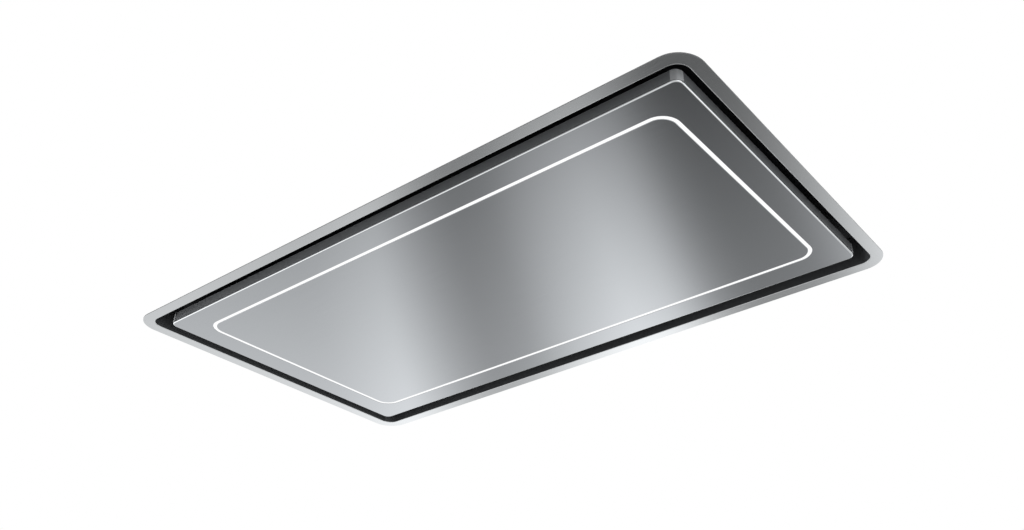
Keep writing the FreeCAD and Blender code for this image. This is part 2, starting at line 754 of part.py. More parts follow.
# ---------------------------------------------------------------- filter deck
def filter_centres():
    """The middles of the two grease filters."""
    x = (FILTER_SIZE + FILTER_GAP) / 2
    return ((-x, 0.0), (x, 0.0))


def filter_deck():
    """The sheet above the panel, with an upturned rim and the two openings that the filters close."""
    plate = box(-CASE_X, CASE_X, -CASE_Y, CASE_Y, DECK_LOW, DECK_TOP + DECK_RIM)
    inner_x, inner_y = CASE_X - DECK_SHEET, CASE_Y - DECK_SHEET
    deck = plate.cut(box(-inner_x, inner_x, -inner_y, inner_y, DECK_TOP, DECK_TOP + DECK_RIM))
    size = FILTER_SIZE - 2 * FILTER_OVERLAP
    for centre in filter_centres():
        deck = deck.cut(slab(size, size, FILTER_OPENING_CORNER, DECK_LOW, DECK_TOP, centre))
    deck = deck.cut(rod(LIGHT_LEAD_HOLE, DECK_SHEET, (CONTACT_X, CONTACT_Y, DECK_LOW)))
    duct = DUCT_RADIUS + ADAPTER_PLAY + ADAPTER_WALL + COLLAR_HOLE_PLAY
    deck = deck.cut(rod(duct, 2 * DECK_SHEET, (inner_x, DUCT_PLACE_Y, DUCT_LEVEL), X_AXIS))
    return pierced(deck, deck_screws() + bracket_screws())


def filter_rails():
    """The folded strips under the deck: the filters hook on the back one and latch on the front one."""
    x = RAIL_END
    web = FILTER_SIZE / 2 + FILTER_RAIL_PLAY
    lip_top = FILTER_LOW - FILTER_RAIL_PLAY
    back = box(-x, x, web, web + RAIL_SHEET, lip_top - RAIL_SHEET, DECK_LOW)
    back = back.fuse(box(-x, x, web + RAIL_SHEET - RAIL_LIP, web, lip_top - RAIL_SHEET, lip_top))
    back = back.fuse(box(-x, x, web, web + RAIL_FLANGE, DECK_LOW - RAIL_SHEET, DECK_LOW))
    face = LATCH_TIP - LATCH_PLAY
    lip_top = LATCH_LOW - LATCH_PLAY
    front = box(-x, x, face - RAIL_SHEET, face, lip_top - RAIL_SHEET, DECK_LOW)
    front = front.fuse(box(-x, x, face, face + RAIL_LATCH_LIP, lip_top - RAIL_SHEET, lip_top))
    front = front.fuse(box(-x, x, face - RAIL_FLANGE, face, DECK_LOW - RAIL_SHEET, DECK_LOW))
    return [back, front]


def latch_pocket(centre):
    """The room in a filter's front bar for the latch and its stem over their travel."""
    x, y = centre
    front = y - FILTER_SIZE / 2
    width = LATCH_WIDTH / 2 + LATCH_PLAY
    high = LATCH_LOW + LATCH_THICKNESS + LATCH_PLAY
    back = front + LATCH_BACK + LATCH_TRAVEL + LATCH_PLAY
    plate = box(x - width, x + width, front, back, LATCH_LOW - LATCH_PLAY, high)
    stem = LATCH_STEM_WIDTH / 2 + LATCH_PLAY
    start = front + LATCH_STEM_INSET
    end = start + LATCH_STEM_DEPTH + LATCH_TRAVEL
    groove = box(x - stem, x + stem, start - LATCH_PLAY, end + LATCH_PLAY, FILTER_LOW, LATCH_LOW)
    return plate.fuse(groove)


def filter_frame(centre):
    """The aluminium frame of one filter, with a wider bar in front for the latch."""
    x, y = centre
    half = FILTER_SIZE / 2
    frame = slab(FILTER_SIZE, FILTER_SIZE, FILTER_CORNER, FILTER_LOW, DECK_LOW, centre)
    hole = box(x - half + FILTER_BAR, x + half - FILTER_BAR, y - half + FILTER_LATCH_BAR,
               y + half - FILTER_BAR, FILTER_LOW, DECK_LOW)
    return frame.cut(hole).cut(latch_pocket(centre))


def filter_mesh(centre):
    """The grease mesh of one filter, as one holed sheet."""
    x, y = centre
    width = FILTER_SIZE - 2 * FILTER_BAR
    depth = FILTER_SIZE - FILTER_BAR - FILTER_LATCH_BAR
    middle = y + (FILTER_LATCH_BAR - FILTER_BAR) / 2
    low = FILTER_LOW + (FILTER_THICKNESS - MESH_THICKNESS) / 2
    step_x, step_y = width / MESH_CELLS, depth / MESH_CELLS
    corner = MESH_WIRE / 2
    wires = [outline(width, depth, MESH_CORNER, low, (x, middle))]
    for place_x in spread(MESH_CELLS, width):
        for place_y in spread(MESH_CELLS, depth):
            place = (x + place_x, middle + place_y)
            wires.append(outline(step_x - MESH_WIRE, step_y - MESH_WIRE, corner, low, place))
    face = Part.makeFace(wires, "Part::FaceMakerBullseye")
    return face.extrude(V(0, 0, MESH_THICKNESS))


def filter_latch(centre):
    """The sliding latch of one filter: tongue, stem and finger knob."""
    x, y = centre
    front = y - FILTER_SIZE / 2
    tongue = box(x - LATCH_WIDTH / 2, x + LATCH_WIDTH / 2, y + LATCH_TIP, front + LATCH_BACK,
                 LATCH_LOW, LATCH_LOW + LATCH_THICKNESS)
    middle = front + LATCH_STEM_INSET + LATCH_STEM_DEPTH / 2
    knob_top = FILTER_LOW - LATCH_PLAY
    stem = block(LATCH_STEM_WIDTH, LATCH_STEM_DEPTH, LATCH_LOW - knob_top, (x, middle), knob_top)
    low = knob_top - LATCH_KNOB_HEIGHT
    knob = slab(LATCH_KNOB_WIDTH, LATCH_KNOB_DEPTH, LATCH_KNOB_CORNER, low, knob_top, (x, middle))
    knob = fillet_where(knob, LATCH_KNOB_EDGE, lambda edge: edge.BoundBox.ZMax < low + EDGE_TOLERANCE)
    return tongue.fuse(stem).fuse(knob)


# ---------------------------------------------------------------- panel
def panel_rim():
    """The outer part of the panel: the floor outside the lit slot, side walls and their turned-in lip."""
    length, depth = LIGHT_LENGTH + LIGHT_WIDTH, LIGHT_DEPTH + LIGHT_WIDTH
    corner = LIGHT_CORNER + LIGHT_WIDTH / 2
    rim = slab(PANEL_LENGTH, PANEL_DEPTH, PANEL_CORNER, 0, PANEL_SHEET)
    rim = rim.fuse(band(PANEL_LENGTH, PANEL_DEPTH, PANEL_CORNER, PANEL_SHEET, 0, PANEL_HEIGHT))
    lip_low = PANEL_HEIGHT - PANEL_SHEET
    rim = rim.fuse(band(PANEL_LENGTH, PANEL_DEPTH, PANEL_CORNER, PANEL_LIP, lip_low, PANEL_HEIGHT))
    wide, deep = length + 2 * PANEL_SHEET, depth + 2 * PANEL_SHEET
    rim = rim.fuse(slab(wide, deep, corner + PANEL_SHEET, 0, LIGHT_FLANGE))
    rim = rim.cut(slab(length, depth, corner, 0, PANEL_HEIGHT)).removeSplitter()
    rim = fillet_where(rim, PANEL_BEND, on_outline(0, PANEL_LENGTH, PANEL_DEPTH, PANEL_CORNER))
    return pierced(rim, backing_screws())


def panel_face():
    """The middle part of the panel, with its edge turned up along the lit slot."""
    length, depth = LIGHT_LENGTH - LIGHT_WIDTH, LIGHT_DEPTH - LIGHT_WIDTH
    corner = LIGHT_CORNER - LIGHT_WIDTH / 2
    face = slab(length, depth, corner, 0, PANEL_SHEET)
    face = face.fuse(band(length, depth, corner, PANEL_SHEET, 0, LIGHT_FLANGE)).removeSplitter()
    return fillet_where(face, SLOT_BEND, on_outline(0, length, depth, corner))


def light_band(half_width, low, high):
    """A closed band along the middle line of the light, of a half width."""
    length, depth = LIGHT_LENGTH + 2 * half_width, LIGHT_DEPTH + 2 * half_width
    return band(length, depth, LIGHT_CORNER + half_width, 2 * half_width, low, high)


def light_diffuser():
    """The opal strip that fills the slot and hangs on its turned-up edges."""
    stem = light_band(LIGHT_WIDTH / 2 - DIFFUSER_PLAY, DIFFUSER_RECESS, LIGHT_FLANGE)
    head = light_band(LIGHT_WIDTH / 2 + DIFFUSER_HEAD, LIGHT_FLANGE, DIFFUSER_RECESS + DIFFUSER_HEIGHT)
    return stem.fuse(head)


def light_channel():
    """The channel over the slot, which joins the two parts of the panel and cools the light."""
    inside = LIGHT_WIDTH / 2 + PANEL_SHEET + CHANNEL_PLAY
    bar = light_band(inside + CHANNEL_WALL, PANEL_SHEET, PANEL_HEIGHT)
    return bar.cut(light_band(inside, PANEL_SHEET, PANEL_HEIGHT - CHANNEL_ROOF))


def led_strip():
    """The light's board under the channel's roof, with its row of emitters."""
    roof = PANEL_HEIGHT - CHANNEL_ROOF
    low = roof - STRIP_THICKNESS
    strip = light_band(STRIP_WIDTH / 2, low, roof)
    places = []
    for side in (-1, 1):
        for x in spread(LEDS_LONG, LIGHT_LENGTH - 2 * LIGHT_CORNER):
            places.append((x, side * LIGHT_DEPTH / 2))
        for y in spread(LEDS_SHORT, LIGHT_DEPTH - 2 * LIGHT_CORNER):
            places.append((side * LIGHT_LENGTH / 2, y))
    chips = [block(LED_SIZE, LED_SIZE, LED_HEIGHT, place, low - LED_HEIGHT) for place in places]
    return strip.fuse(chips)


def backing_screws():
    """Where the backing is screwed down on the lip of the rim."""
    screws = []
    x, y = PANEL_LENGTH / 2 - PANEL_SCREW_INSET, PANEL_DEPTH / 2 - PANEL_SCREW_INSET
    for side in (-1, 1):
        for place in spread(PANEL_SCREWS_LONG, PANEL_LENGTH):
            screws.append(((place, side * y, BACKING_TOP), Z_AXIS))
        for place in spread(PANEL_SCREWS_SHORT, PANEL_DEPTH):
            screws.append(((side * x, place, BACKING_TOP), Z_AXIS))
    return screws


def panel_backing():
    """The flat sheet that closes the panel from above."""
    sheet = slab(BACKING_LENGTH, BACKING_DEPTH, PANEL_CORNER, PANEL_HEIGHT, BACKING_TOP)
    return pierced(sheet, backing_screws() + leaf_screws())


def panel_stiffeners():
    """The top-hat sections between the panel's face and its backing."""
    height = PANEL_HEIGHT - PANEL_SHEET
    depth = LIGHT_DEPTH - 2 * STIFFENER_ROOM
    return [
        hat(STIFFENER_WIDTH, STIFFENER_FOOT, height, STIFFENER_WALL, depth, (x, 0.0), PANEL_SHEET)
        for x in spread(STIFFENERS, LIGHT_LENGTH)
    ]


# ---------------------------------------------------------------- hinges, catches and contact
def hinge_places():
    """The middles of the two hinges along the panel's back edge."""
    return (-HINGE_X, HINGE_X)


def hinge_screws(level, out):
    """The screws along both hinges, at a level."""
    depths = [HINGE_Y - HINGE_LEAF_LENGTH * share for share in HINGE_SCREW_SHARES]
    return [((x, y, level), out) for x in hinge_places() for y in depths]


def leaf_screws():
    """Where the hinge leaves are screwed to the backing."""
    return hinge_screws(BACKING_TOP + HINGE_BASE, Z_AXIS)


def bracket_screws():
    """Where the hinge brackets are screwed to the underside of the deck."""
    return hinge_screws(DECK_LOW - HINGE_BASE, -Z_AXIS)


def hinge_leaf(x):
    """The leaf on the panel, with the eye that turns on the pin."""
    y0, y1 = HINGE_Y - HINGE_LEAF_LENGTH, HINGE_Y + HINGE_EYE
    half, wide = HINGE_EYE_WIDTH / 2, HINGE_LEAF_WIDTH / 2
    base = box(x - wide, x + wide, y0, y1, BACKING_TOP, BACKING_TOP + HINGE_BASE)
    web = box(x - half, x + half, HINGE_Y - HINGE_EYE, y1, BACKING_TOP, HINGE_LEVEL)
    eye = rod(HINGE_EYE, HINGE_EYE_WIDTH, (x - half, HINGE_Y, HINGE_LEVEL), X_AXIS)
    bore = rod(HINGE_PIN + HINGE_PIN_PLAY, HINGE_EYE_WIDTH, (x - half, HINGE_Y, HINGE_LEVEL), X_AXIS)
    return pierced(base.fuse(web).fuse(eye).cut(bore), leaf_screws())


def hinge_bracket(x):
    """The bracket under the deck, with the two ears that hold the pin."""
    base_low = DECK_LOW - HINGE_BASE
    y0, y1 = HINGE_Y - HINGE_LEAF_LENGTH, HINGE_Y + HINGE_EYE
    bracket = box(x - HINGE_LEAF_WIDTH / 2, x + HINGE_LEAF_WIDTH / 2, y0, y1, base_low, DECK_LOW)
    near = HINGE_EYE_WIDTH / 2 + HINGE_SIDE_PLAY
    for start in (x - near - HINGE_EAR, x + near):
        centre = (start, HINGE_Y, HINGE_LEVEL)
        ear = box(start, start + HINGE_EAR, HINGE_Y - HINGE_EYE, y1, HINGE_LEVEL, base_low)
        ear = ear.fuse(rod(HINGE_EYE, HINGE_EAR, centre, X_AXIS))
        bracket = bracket.fuse(ear.cut(rod(HINGE_PIN, HINGE_EAR, centre, X_AXIS)))
    return pierced(bracket, bracket_screws())


def hinge_pin(x):
    """The pin through the ears of one hinge."""
    half = HINGE_EYE_WIDTH / 2 + HINGE_SIDE_PLAY + HINGE_EAR
    return rod(HINGE_PIN, 2 * half, (x - half, HINGE_Y, HINGE_LEVEL), X_AXIS)


def catch_places():
    """The middles of the two magnet catches."""
    return ((-CATCH_X, CATCH_Y), (CATCH_X, CATCH_Y))


def magnet_catch(centre):
    """The housing that holds a magnet down to just above its strike plate."""
    low = STRIKE_TOP + CATCH_GAP
    housing = block(CATCH_LENGTH, CATCH_DEPTH, DECK_LOW - low, centre, low)
    return housing.cut(block(MAGNET_LENGTH, MAGNET_DEPTH, MAGNET_HEIGHT, centre, low))


def catch_magnet(centre):
    """The magnet, flush with the underside of its housing."""
    return block(MAGNET_LENGTH, MAGNET_DEPTH, MAGNET_HEIGHT, centre, STRIKE_TOP + CATCH_GAP)


def strike_plate(centre):
    """The steel plate on the panel that the magnet pulls."""
    length, depth = MAGNET_LENGTH + 2 * STRIKE_MARGIN, MAGNET_DEPTH + 2 * STRIKE_MARGIN
    return block(length, depth, STRIKE_THICKNESS, centre, BACKING_TOP)


def light_contact_plate():
    """The half of the light's contact that rides on the panel."""
    return block(CONTACT_LENGTH, CONTACT_DEPTH, CONTACT_HEIGHT, (CONTACT_X, CONTACT_Y), BACKING_TOP)


def light_contact_block():
    """The half of the light's contact under the deck, reached when the panel is shut."""
    low = BACKING_TOP + CONTACT_HEIGHT + CATCH_GAP
    return block(CONTACT_LENGTH, CONTACT_DEPTH, DECK_LOW - low, (CONTACT_X, CONTACT_Y), low)


# ---------------------------------------------------------------- blower
def scroll_point(angle, grow):
    """A point of the volute at an angle in degrees; its radius grows steadily from tongue to mouth."""
    tongue = math.degrees(math.asin(MOUTH_BACK / SCROLL_START))
    share = (angle - tongue) / (SCROLL_TURN - tongue)
    radius = SCROLL_START + (SCROLL_END - SCROLL_START) * share + grow
    turn = math.radians(angle)
    return V(FAN_X + radius * math.cos(turn), FAN_Y + radius * math.sin(turn), 0)


def scroll_solid(grow, reach, low, high):
    """The volute's plan shape, grown by a wall, from one level to another."""
    back = MOUTH_BACK + grow
    tongue = math.degrees(math.asin(back / (SCROLL_START + grow)))
    front_y = FAN_Y - SCROLL_END - grow
    angles = (tongue, 90.0, 180.0, SCROLL_TURN)
    edges = []
    for begin, end in zip(angles, angles[1:]):
        middle = (begin + end) / 2
        points = [scroll_point(angle, grow) for angle in (begin, middle, end)]
        edges.append(Part.Arc(*points).toShape())
    start, finish = scroll_point(tongue, grow), scroll_point(SCROLL_TURN, grow)
    corners = [finish, V(FAN_X + reach, front_y, 0), V(FAN_X + reach, start.y, 0), start]
    for first, second in zip(corners, corners[1:]):
        edges.append(Part.makeLine(first, second))
    wire = Part.Wire(edges)
    wire.translate(V(0, 0, low))
    return Part.Face(wire).extrude(V(0, 0, high - low))


def scroll_joint(low, high):
    """The flange along the line where the two halves of the scroll meet."""
    reach = MOUTH_REACH - ADAPTER_OVERLAP - SCROLL_JOINT
    return scroll_solid(SCROLL_WALL + SCROLL_JOINT, reach, low, high)


def scroll_lower():
    """The lower half of the scroll, with the inlet in its floor."""
    half = scroll_solid(SCROLL_WALL, MOUTH_REACH, SCROLL_LOW, SCROLL_MIDDLE)
    half = half.fuse(scroll_joint(SCROLL_MIDDLE - SCROLL_WALL, SCROLL_MIDDLE))
    half = half.cut(scroll_solid(0, 2 * MOUTH_REACH, SCROLL_FLOOR, SCROLL_MIDDLE))
    return half.cut(rod(INLET_RADIUS, SCROLL_WALL, (FAN_X, FAN_Y, SCROLL_LOW)))


def scroll_upper():
    """The upper half of the scroll, with the opening for the motor in its roof."""
    roof = SCROLL_TOP - SCROLL_WALL
    half = scroll_solid(SCROLL_WALL, MOUTH_REACH, SCROLL_MIDDLE, SCROLL_TOP)
    half = half.fuse(scroll_joint(SCROLL_MIDDLE, SCROLL_MIDDLE + SCROLL_WALL))
    half = half.cut(scroll_solid(0, 2 * MOUTH_REACH, SCROLL_MIDDLE, roof))
    half = half.cut(rod(MOTOR_OPENING, SCROLL_WALL, (FAN_X, FAN_Y, roof)))
    return pierced(half, spider_screws())


def inlet_ring():
    """The ring that leads air into the wheel."""
    start = (FAN_X, FAN_Y, SCROLL_LOW - INLET_WALL)
    inner = INLET_RADIUS - INLET_WALL
    lip = ring(INLET_RADIUS + INLET_FLARE, inner, INLET_WALL, start)
    neck = ring(INLET_RADIUS, inner, SCROLL_FLOOR + INLET_NECK - start[2], start)
    return lip.fuse(neck).removeSplitter()


def wheel_blade():
    """One forward-curved blade of the wheel."""
    turn = math.radians(WHEEL_SWEEP)
    outer = WHEEL_OUTER - WHEEL_BLADE
    begin = V(WHEEL_INNER, 0, WHEEL_LOW)
    end = V(outer * math.cos(turn), outer * math.sin(turn), WHEEL_LOW)
    along = end - begin
    normal = V(along.y, -along.x, 0)
    normal.normalize()
    bulge = (begin + end) * 0.5 + normal * WHEEL_CURVE
    thick = normal * WHEEL_BLADE
    edges = [
        Part.Arc(begin, bulge, end).toShape(),
        Part.makeLine(end, end + thick),
        Part.Arc(end + thick, bulge + thick, begin + thick).toShape(),
        Part.makeLine(begin + thick, begin),
    ]
    return Part.Face(Part.Wire(edges)).extrude(V(0, 0, WHEEL_HEIGHT - WHEEL_PLATE / 2))


def impeller():
    """The wheel: blades between two plates, and a drum that goes down round the motor to the hub."""
    blade = wheel_blade()
    step = 360.0 / WHEEL_BLADES
    blades = [turned(blade, step * index, (0, 0, 0)) for index in range(WHEEL_BLADES)]
    drum_inner = DRUM_RADIUS - WHEEL_PLATE
    lower = ring(WHEEL_OUTER, WHEEL_INNER, WHEEL_PLATE, (0, 0, WHEEL_LOW))
    upper = ring(WHEEL_OUTER, drum_inner, WHEEL_PLATE, (0, 0, WHEEL_TOP - WHEEL_PLATE))
    drum = ring(DRUM_RADIUS, drum_inner, DRUM_DROP, (0, 0, DRUM_FLOOR))
    floor = rod(DRUM_RADIUS, WHEEL_PLATE, (0, 0, DRUM_FLOOR))
    hub = rod(HUB_RADIUS, HUB_LENGTH, (0, 0, SHAFT_LOW))
    wheel = upper.fuse([lower, drum, floor, hub] + blades)
    return moved(wheel.cut(rod(SHAFT_RADIUS, DRUM_DROP, (0, 0, SHAFT_LOW))), FAN_X, FAN_Y)


def motor_housing():
    """The cup round the motor, with the seat of the lower bearing."""
    axis = (FAN_X, FAN_Y, MOTOR_LOW)
    cup = rod(MOTOR_RADIUS, SPIDER_LOW - MOTOR_LOW, axis)
    room = rod(MOTOR_RADIUS - MOTOR_WALL, SPIDER_LOW, (FAN_X, FAN_Y, MOTOR_LOW + MOTOR_WALL))
    seat = ring(BEARING_RADIUS + MOTOR_WALL, BEARING_RADIUS, BEARING_HEIGHT + MOTOR_WALL, axis)
    return cup.cut(room).fuse(seat).cut(rod(BEARING_RADIUS - MOTOR_WALL, MOTOR_HEIGHT, axis))


def motor_bearings():
    """The two bearings of the shaft."""
    levels = (MOTOR_LOW + MOTOR_WALL, SPIDER_LOW - BEARING_HEIGHT)
    bore = SHAFT_RADIUS + SHAFT_PLAY
    return [ring(BEARING_RADIUS, bore, BEARING_HEIGHT, (FAN_X, FAN_Y, level)) for level in levels]


def motor_spider():
    """The plate that the motor hangs from: arms over the scroll's roof and the upper bearing's seat."""
    axis = (FAN_X, FAN_Y, SPIDER_LOW)
    plate = rod(SPIDER_DISC, SPIDER_SHEET, axis)
    arm = box(0, SPIDER_ARM_REACH, -SPIDER_ARM_WIDTH / 2, SPIDER_ARM_WIDTH / 2, SPIDER_LOW, MOTOR_TOP)
    arms = [moved(turned(arm, angle, (0, 0, 0)), FAN_X, FAN_Y) for angle in spider_angles()]
    seat_low = SPIDER_LOW - BEARING_HEIGHT
    seat = ring(BEARING_RADIUS + MOTOR_WALL, BEARING_RADIUS, BEARING_HEIGHT, (FAN_X, FAN_Y, seat_low))
    return pierced(plate.fuse(arms + [seat]).removeSplitter(), spider_screws())


def motor_stator():
    """The laminated ring with its windings, pressed into the housing."""
    low = MOTOR_LOW + MOTOR_WALL + BEARING_HEIGHT + STATOR_GAP
    return ring(MOTOR_RADIUS - MOTOR_WALL, STATOR_INNER, STATOR_HEIGHT, (FAN_X, FAN_Y, low))


def motor_rotor():
    """The rotor on the shaft, inside the stator."""
    low = MOTOR_LOW + MOTOR_WALL + BEARING_HEIGHT + STATOR_GAP
    return ring(STATOR_INNER - ROTOR_GAP, SHAFT_RADIUS, STATOR_HEIGHT, (FAN_X, FAN_Y, low))


def motor_shaft():
    """The shaft from the wheel's hub up to the upper bearing."""
    return rod(SHAFT_RADIUS, SPIDER_LOW - SHAFT_PLAY - SHAFT_LOW, (FAN_X, FAN_Y, SHAFT_LOW))


def spider_angles():
    """The directions of the spider's arms, in degrees."""
    return [SPIDER_ARM_TURN + 360.0 * index / SPIDER_ARMS for index in range(SPIDER_ARMS)]


def spider_screws():
    """Where the spider's arms are screwed through the rubber mounts."""
    screws = []
    for angle in spider_angles():
        turn = math.radians(angle)
        x = FAN_X + SPIDER_SCREW_PLACE * math.cos(turn)
        y = FAN_Y + SPIDER_SCREW_PLACE * math.sin(turn)
        screws.append(((x, y, MOTOR_TOP), Z_AXIS))
    return screws


def rubber_mounts():
    """The four rubber grommets between the spider and the scroll's roof."""
    return [
        ring(GROMMET_RADIUS, SMALL_SHANK, GROMMET_HEIGHT, (place[0], place[1], SCROLL_TOP))
        for place, out in spider_screws()
    ]


def blower_rails():
    """The two top-hat rails that carry the scroll over the filter opening."""
    middle = (BLOWER_RAIL_FRONT + BLOWER_RAIL_BACK) / 2
    length = BLOWER_RAIL_BACK - BLOWER_RAIL_FRONT
    height = SCROLL_LOW - DECK_TOP
    return [
        hat(BLOWER_RAIL_WIDTH, BLOWER_RAIL_FOOT, height, BLOWER_RAIL_SHEET, length, (x, middle), DECK_TOP)
        for x in (FAN_X - BLOWER_RAIL_OFFSET, FAN_X + BLOWER_RAIL_OFFSET)
    ]


# ---------------------------------------------------------------- duct outlet
def upright_section(width, height, corner, x, level):
    """A round-cornered rectangle that stands square to X."""
    wire = outline(height, width, corner)
    wire.rotate(V(0, 0, 0), Y_AXIS, -90)
    wire.translate(V(x, DUCT_PLACE_Y, level))
    return wire


def adapter_solid(grow):
    """The room inside the adapter, or its outside: a sleeve, a change to round, and a round sleeve."""
    width = MOUTH_WIDTH + 2 * SCROLL_WALL + 2 * ADAPTER_PLAY + 2 * grow
    height = SCROLL_TOP - SCROLL_LOW + 2 * ADAPTER_PLAY + 2 * grow
    radius = DUCT_RADIUS + ADAPTER_PLAY + grow
    round_x = CASE_X - ADAPTER_PLAY - ADAPTER_OVERLAP
    sections = [
        upright_section(width, height, ADAPTER_PLAY + grow, MOUTH_X - ADAPTER_OVERLAP, SCROLL_MIDDLE),
        upright_section(width, height, ADAPTER_PLAY + grow, MOUTH_X, SCROLL_MIDDLE),
        upright_section(2 * radius, 2 * radius, radius - ADAPTER_FLAT, round_x, DUCT_LEVEL),
        upright_section(2 * radius, 2 * radius, radius - ADAPTER_FLAT, CASE_X - ADAPTER_PLAY, DUCT_LEVEL),
    ]
    return Part.makeLoft(sections, True, True)


def duct_adapter():
    """The duct from the blower's mouth to the round collar."""
    return adapter_solid(ADAPTER_WALL).cut(adapter_solid(0))


def collar_screws():
    """Where the collar's plate is screwed to the case."""
    return [
        ((CASE_END + COLLAR_PLATE_SHEET, DUCT_PLACE_Y + y, DUCT_LEVEL + z), X_AXIS)
        for y in (-COLLAR_SCREW_PLACE, COLLAR_SCREW_PLACE)
        for z in (-COLLAR_SCREW_PLACE, COLLAR_SCREW_PLACE)
    ]


def duct_collar():
    """The plate with the round spigot for the duct, and the ledge that the shut flaps rest against."""
    axis = (CASE_END - COLLAR_INWARD, DUCT_PLACE_Y, DUCT_LEVEL)
    wire = upright_section(COLLAR_PLATE, COLLAR_PLATE, COLLAR_PLATE_CORNER, CASE_END, DUCT_LEVEL)
    plate = Part.Face(wire).extrude(X_AXIS * COLLAR_PLATE_SHEET)
    inner = DUCT_RADIUS - COLLAR_WALL
    collar = plate.fuse(rod(DUCT_RADIUS, SIDE_REACH + COLLAR_INWARD, axis, X_AXIS))
    collar = collar.cut(rod(inner, SIDE_REACH + COLLAR_INWARD, axis, X_AXIS))
    stop = (FLAP_X - FLAP_SHEET / 2 - FLAP_STOP_GAP - FLAP_STOP_SHEET, DUCT_PLACE_Y, DUCT_LEVEL)
    collar = collar.fuse(ring(inner, inner - FLAP_STOP, FLAP_STOP_SHEET, stop, X_AXIS))
    return pierced(collar.cut(flap_pin()), collar_screws())


def flap_pin():
    """The upright pin across the collar that both flaps turn on."""
    reach = DUCT_RADIUS - COLLAR_WALL / 2
    return rod(FLAP_PIN, 2 * reach, (FLAP_X, DUCT_PLACE_Y, DUCT_LEVEL - reach))


def flap(side):
    """One half of the non-return flap, with two knuckles on the pin."""
    radius = DUCT_RADIUS - COLLAR_WALL - FLAP_PLAY
    disc = rod(radius, FLAP_SHEET, (FLAP_X - FLAP_SHEET / 2, DUCT_PLACE_Y, DUCT_LEVEL), X_AXIS)
    edges = sorted((side * FLAP_SPLIT, side * 2 * radius))
    half = box(FLAP_X - FLAP_SHEET, FLAP_X + FLAP_SHEET, DUCT_PLACE_Y + edges[0], DUCT_PLACE_Y + edges[1],
               DUCT_LEVEL - radius, DUCT_LEVEL + radius)
    plate = disc.common(half)
    for place in FLAP_KNUCKLES:
        low = DUCT_LEVEL + place + (FLAP_KNUCKLE_STEP if side > 0 else 0.0)
        knuckle = rod(FLAP_KNUCKLE, FLAP_KNUCKLE_LENGTH, (FLAP_X, DUCT_PLACE_Y, low))
        sides = sorted((0.0, side * FLAP_SPLIT))
        web = box(FLAP_X - FLAP_SHEET / 2, FLAP_X + FLAP_SHEET / 2, DUCT_PLACE_Y + sides[0],
                  DUCT_PLACE_Y + sides[1], low, low + FLAP_KNUCKLE_LENGTH)
        bore = rod(FLAP_PIN + FLAP_PIN_PLAY, FLAP_KNUCKLE_LENGTH, (FLAP_X, DUCT_PLACE_Y, low))
        plate = plate.fuse(knuckle).fuse(web).cut(bore)
    return plate


# ---------------------------------------------------------------- electrical parts
def control_box():
    """The tray of the control box, with posts for the board and holes for the leads."""
    centre = (CONTROL_X, 0.0)
    height = CONTROL_HEIGHT - CONTROL_WALL
    tray = block(CONTROL_LENGTH, CONTROL_DEPTH, height, centre, DECK_TOP)
    inner = (CONTROL_LENGTH - 2 * CONTROL_WALL, CONTROL_DEPTH - 2 * CONTROL_WALL)
    tray = tray.cut(block(*inner, height, centre, DECK_TOP + CONTROL_WALL))
    reach_x, reach_y = (size / 2 - BOARD_INSET - BOARD_POST for size in inner)
    for x in (-reach_x, reach_x):
        for y in (-reach_y, reach_y):
            tray = tray.fuse(rod(BOARD_POST, BOARD_LEVEL, (CONTROL_X + x, y, DECK_TOP)))
    wall = CONTROL_DEPTH / 2 - CONTROL_WALL
    motor = (LEAD_EXIT_X, wall, lead_level())
    tray = tray.cut(rod(LEAD_RADIUS + LEAD_PLAY, CONTROL_WALL, motor, Y_AXIS))
    light = (CONTACT_X, wall, LIGHT_LEAD_LEVEL)
    return tray.cut(rod(LIGHT_LEAD_RADIUS + LEAD_PLAY, CONTROL_WALL, light, Y_AXIS))


def control_lid():
    """The flat lid of the control box."""
    low = DECK_TOP + CONTROL_HEIGHT - CONTROL_WALL
    return block(CONTROL_LENGTH, CONTROL_DEPTH, CONTROL_WALL, (CONTROL_X, 0.0), low)


def control_board():
    """The circuit board on its posts, with transformer, relays and terminal block."""
    low = DECK_TOP + BOARD_LEVEL
    margin = 2 * (CONTROL_WALL + BOARD_INSET)
    length, depth = CONTROL_LENGTH - margin, CONTROL_DEPTH - margin
    board = block(length, depth, BOARD_THICKNESS, (CONTROL_X, 0.0), low)
    parts = [(RELAY_SIZE, shares) for shares in RELAY_SHARES]
    parts.append((TRANSFORMER_SIZE, TRANSFORMER_SHARES))
    parts.append((TERMINALS_SIZE, TERMINALS_SHARES))
    parts.append((FUSE_SIZE, FUSE_SHARES))
    for size, (share_x, share_y) in parts:
        place = (CONTROL_X + share_x * length, share_y * depth)
        board = board.fuse(block(*size, place, low + BOARD_THICKNESS))
    return board


def light_driver():
    """The power supply of the light."""
    low, high = DECK_TOP, DECK_TOP + DRIVER_HEIGHT
    body = slab(DRIVER_LENGTH, DRIVER_DEPTH, CONTROL_WALL, low, high, (CONTROL_X, DRIVER_Y))
    return fillet_where(body, CONTROL_WALL, lambda edge: edge.BoundBox.ZMin > high - EDGE_TOLERANCE)


def motor_capacitor():
    """The motor's capacitor, standing on the deck."""
    body = rod(CAPACITOR_RADIUS, CAPACITOR_HEIGHT, (CAPACITOR_X, CAPACITOR_Y, DECK_TOP))
    top = DECK_TOP + CAPACITOR_HEIGHT - EDGE_TOLERANCE
    return fillet_where(body, CAPACITOR_EDGE, lambda edge: edge.BoundBox.ZMin > top)


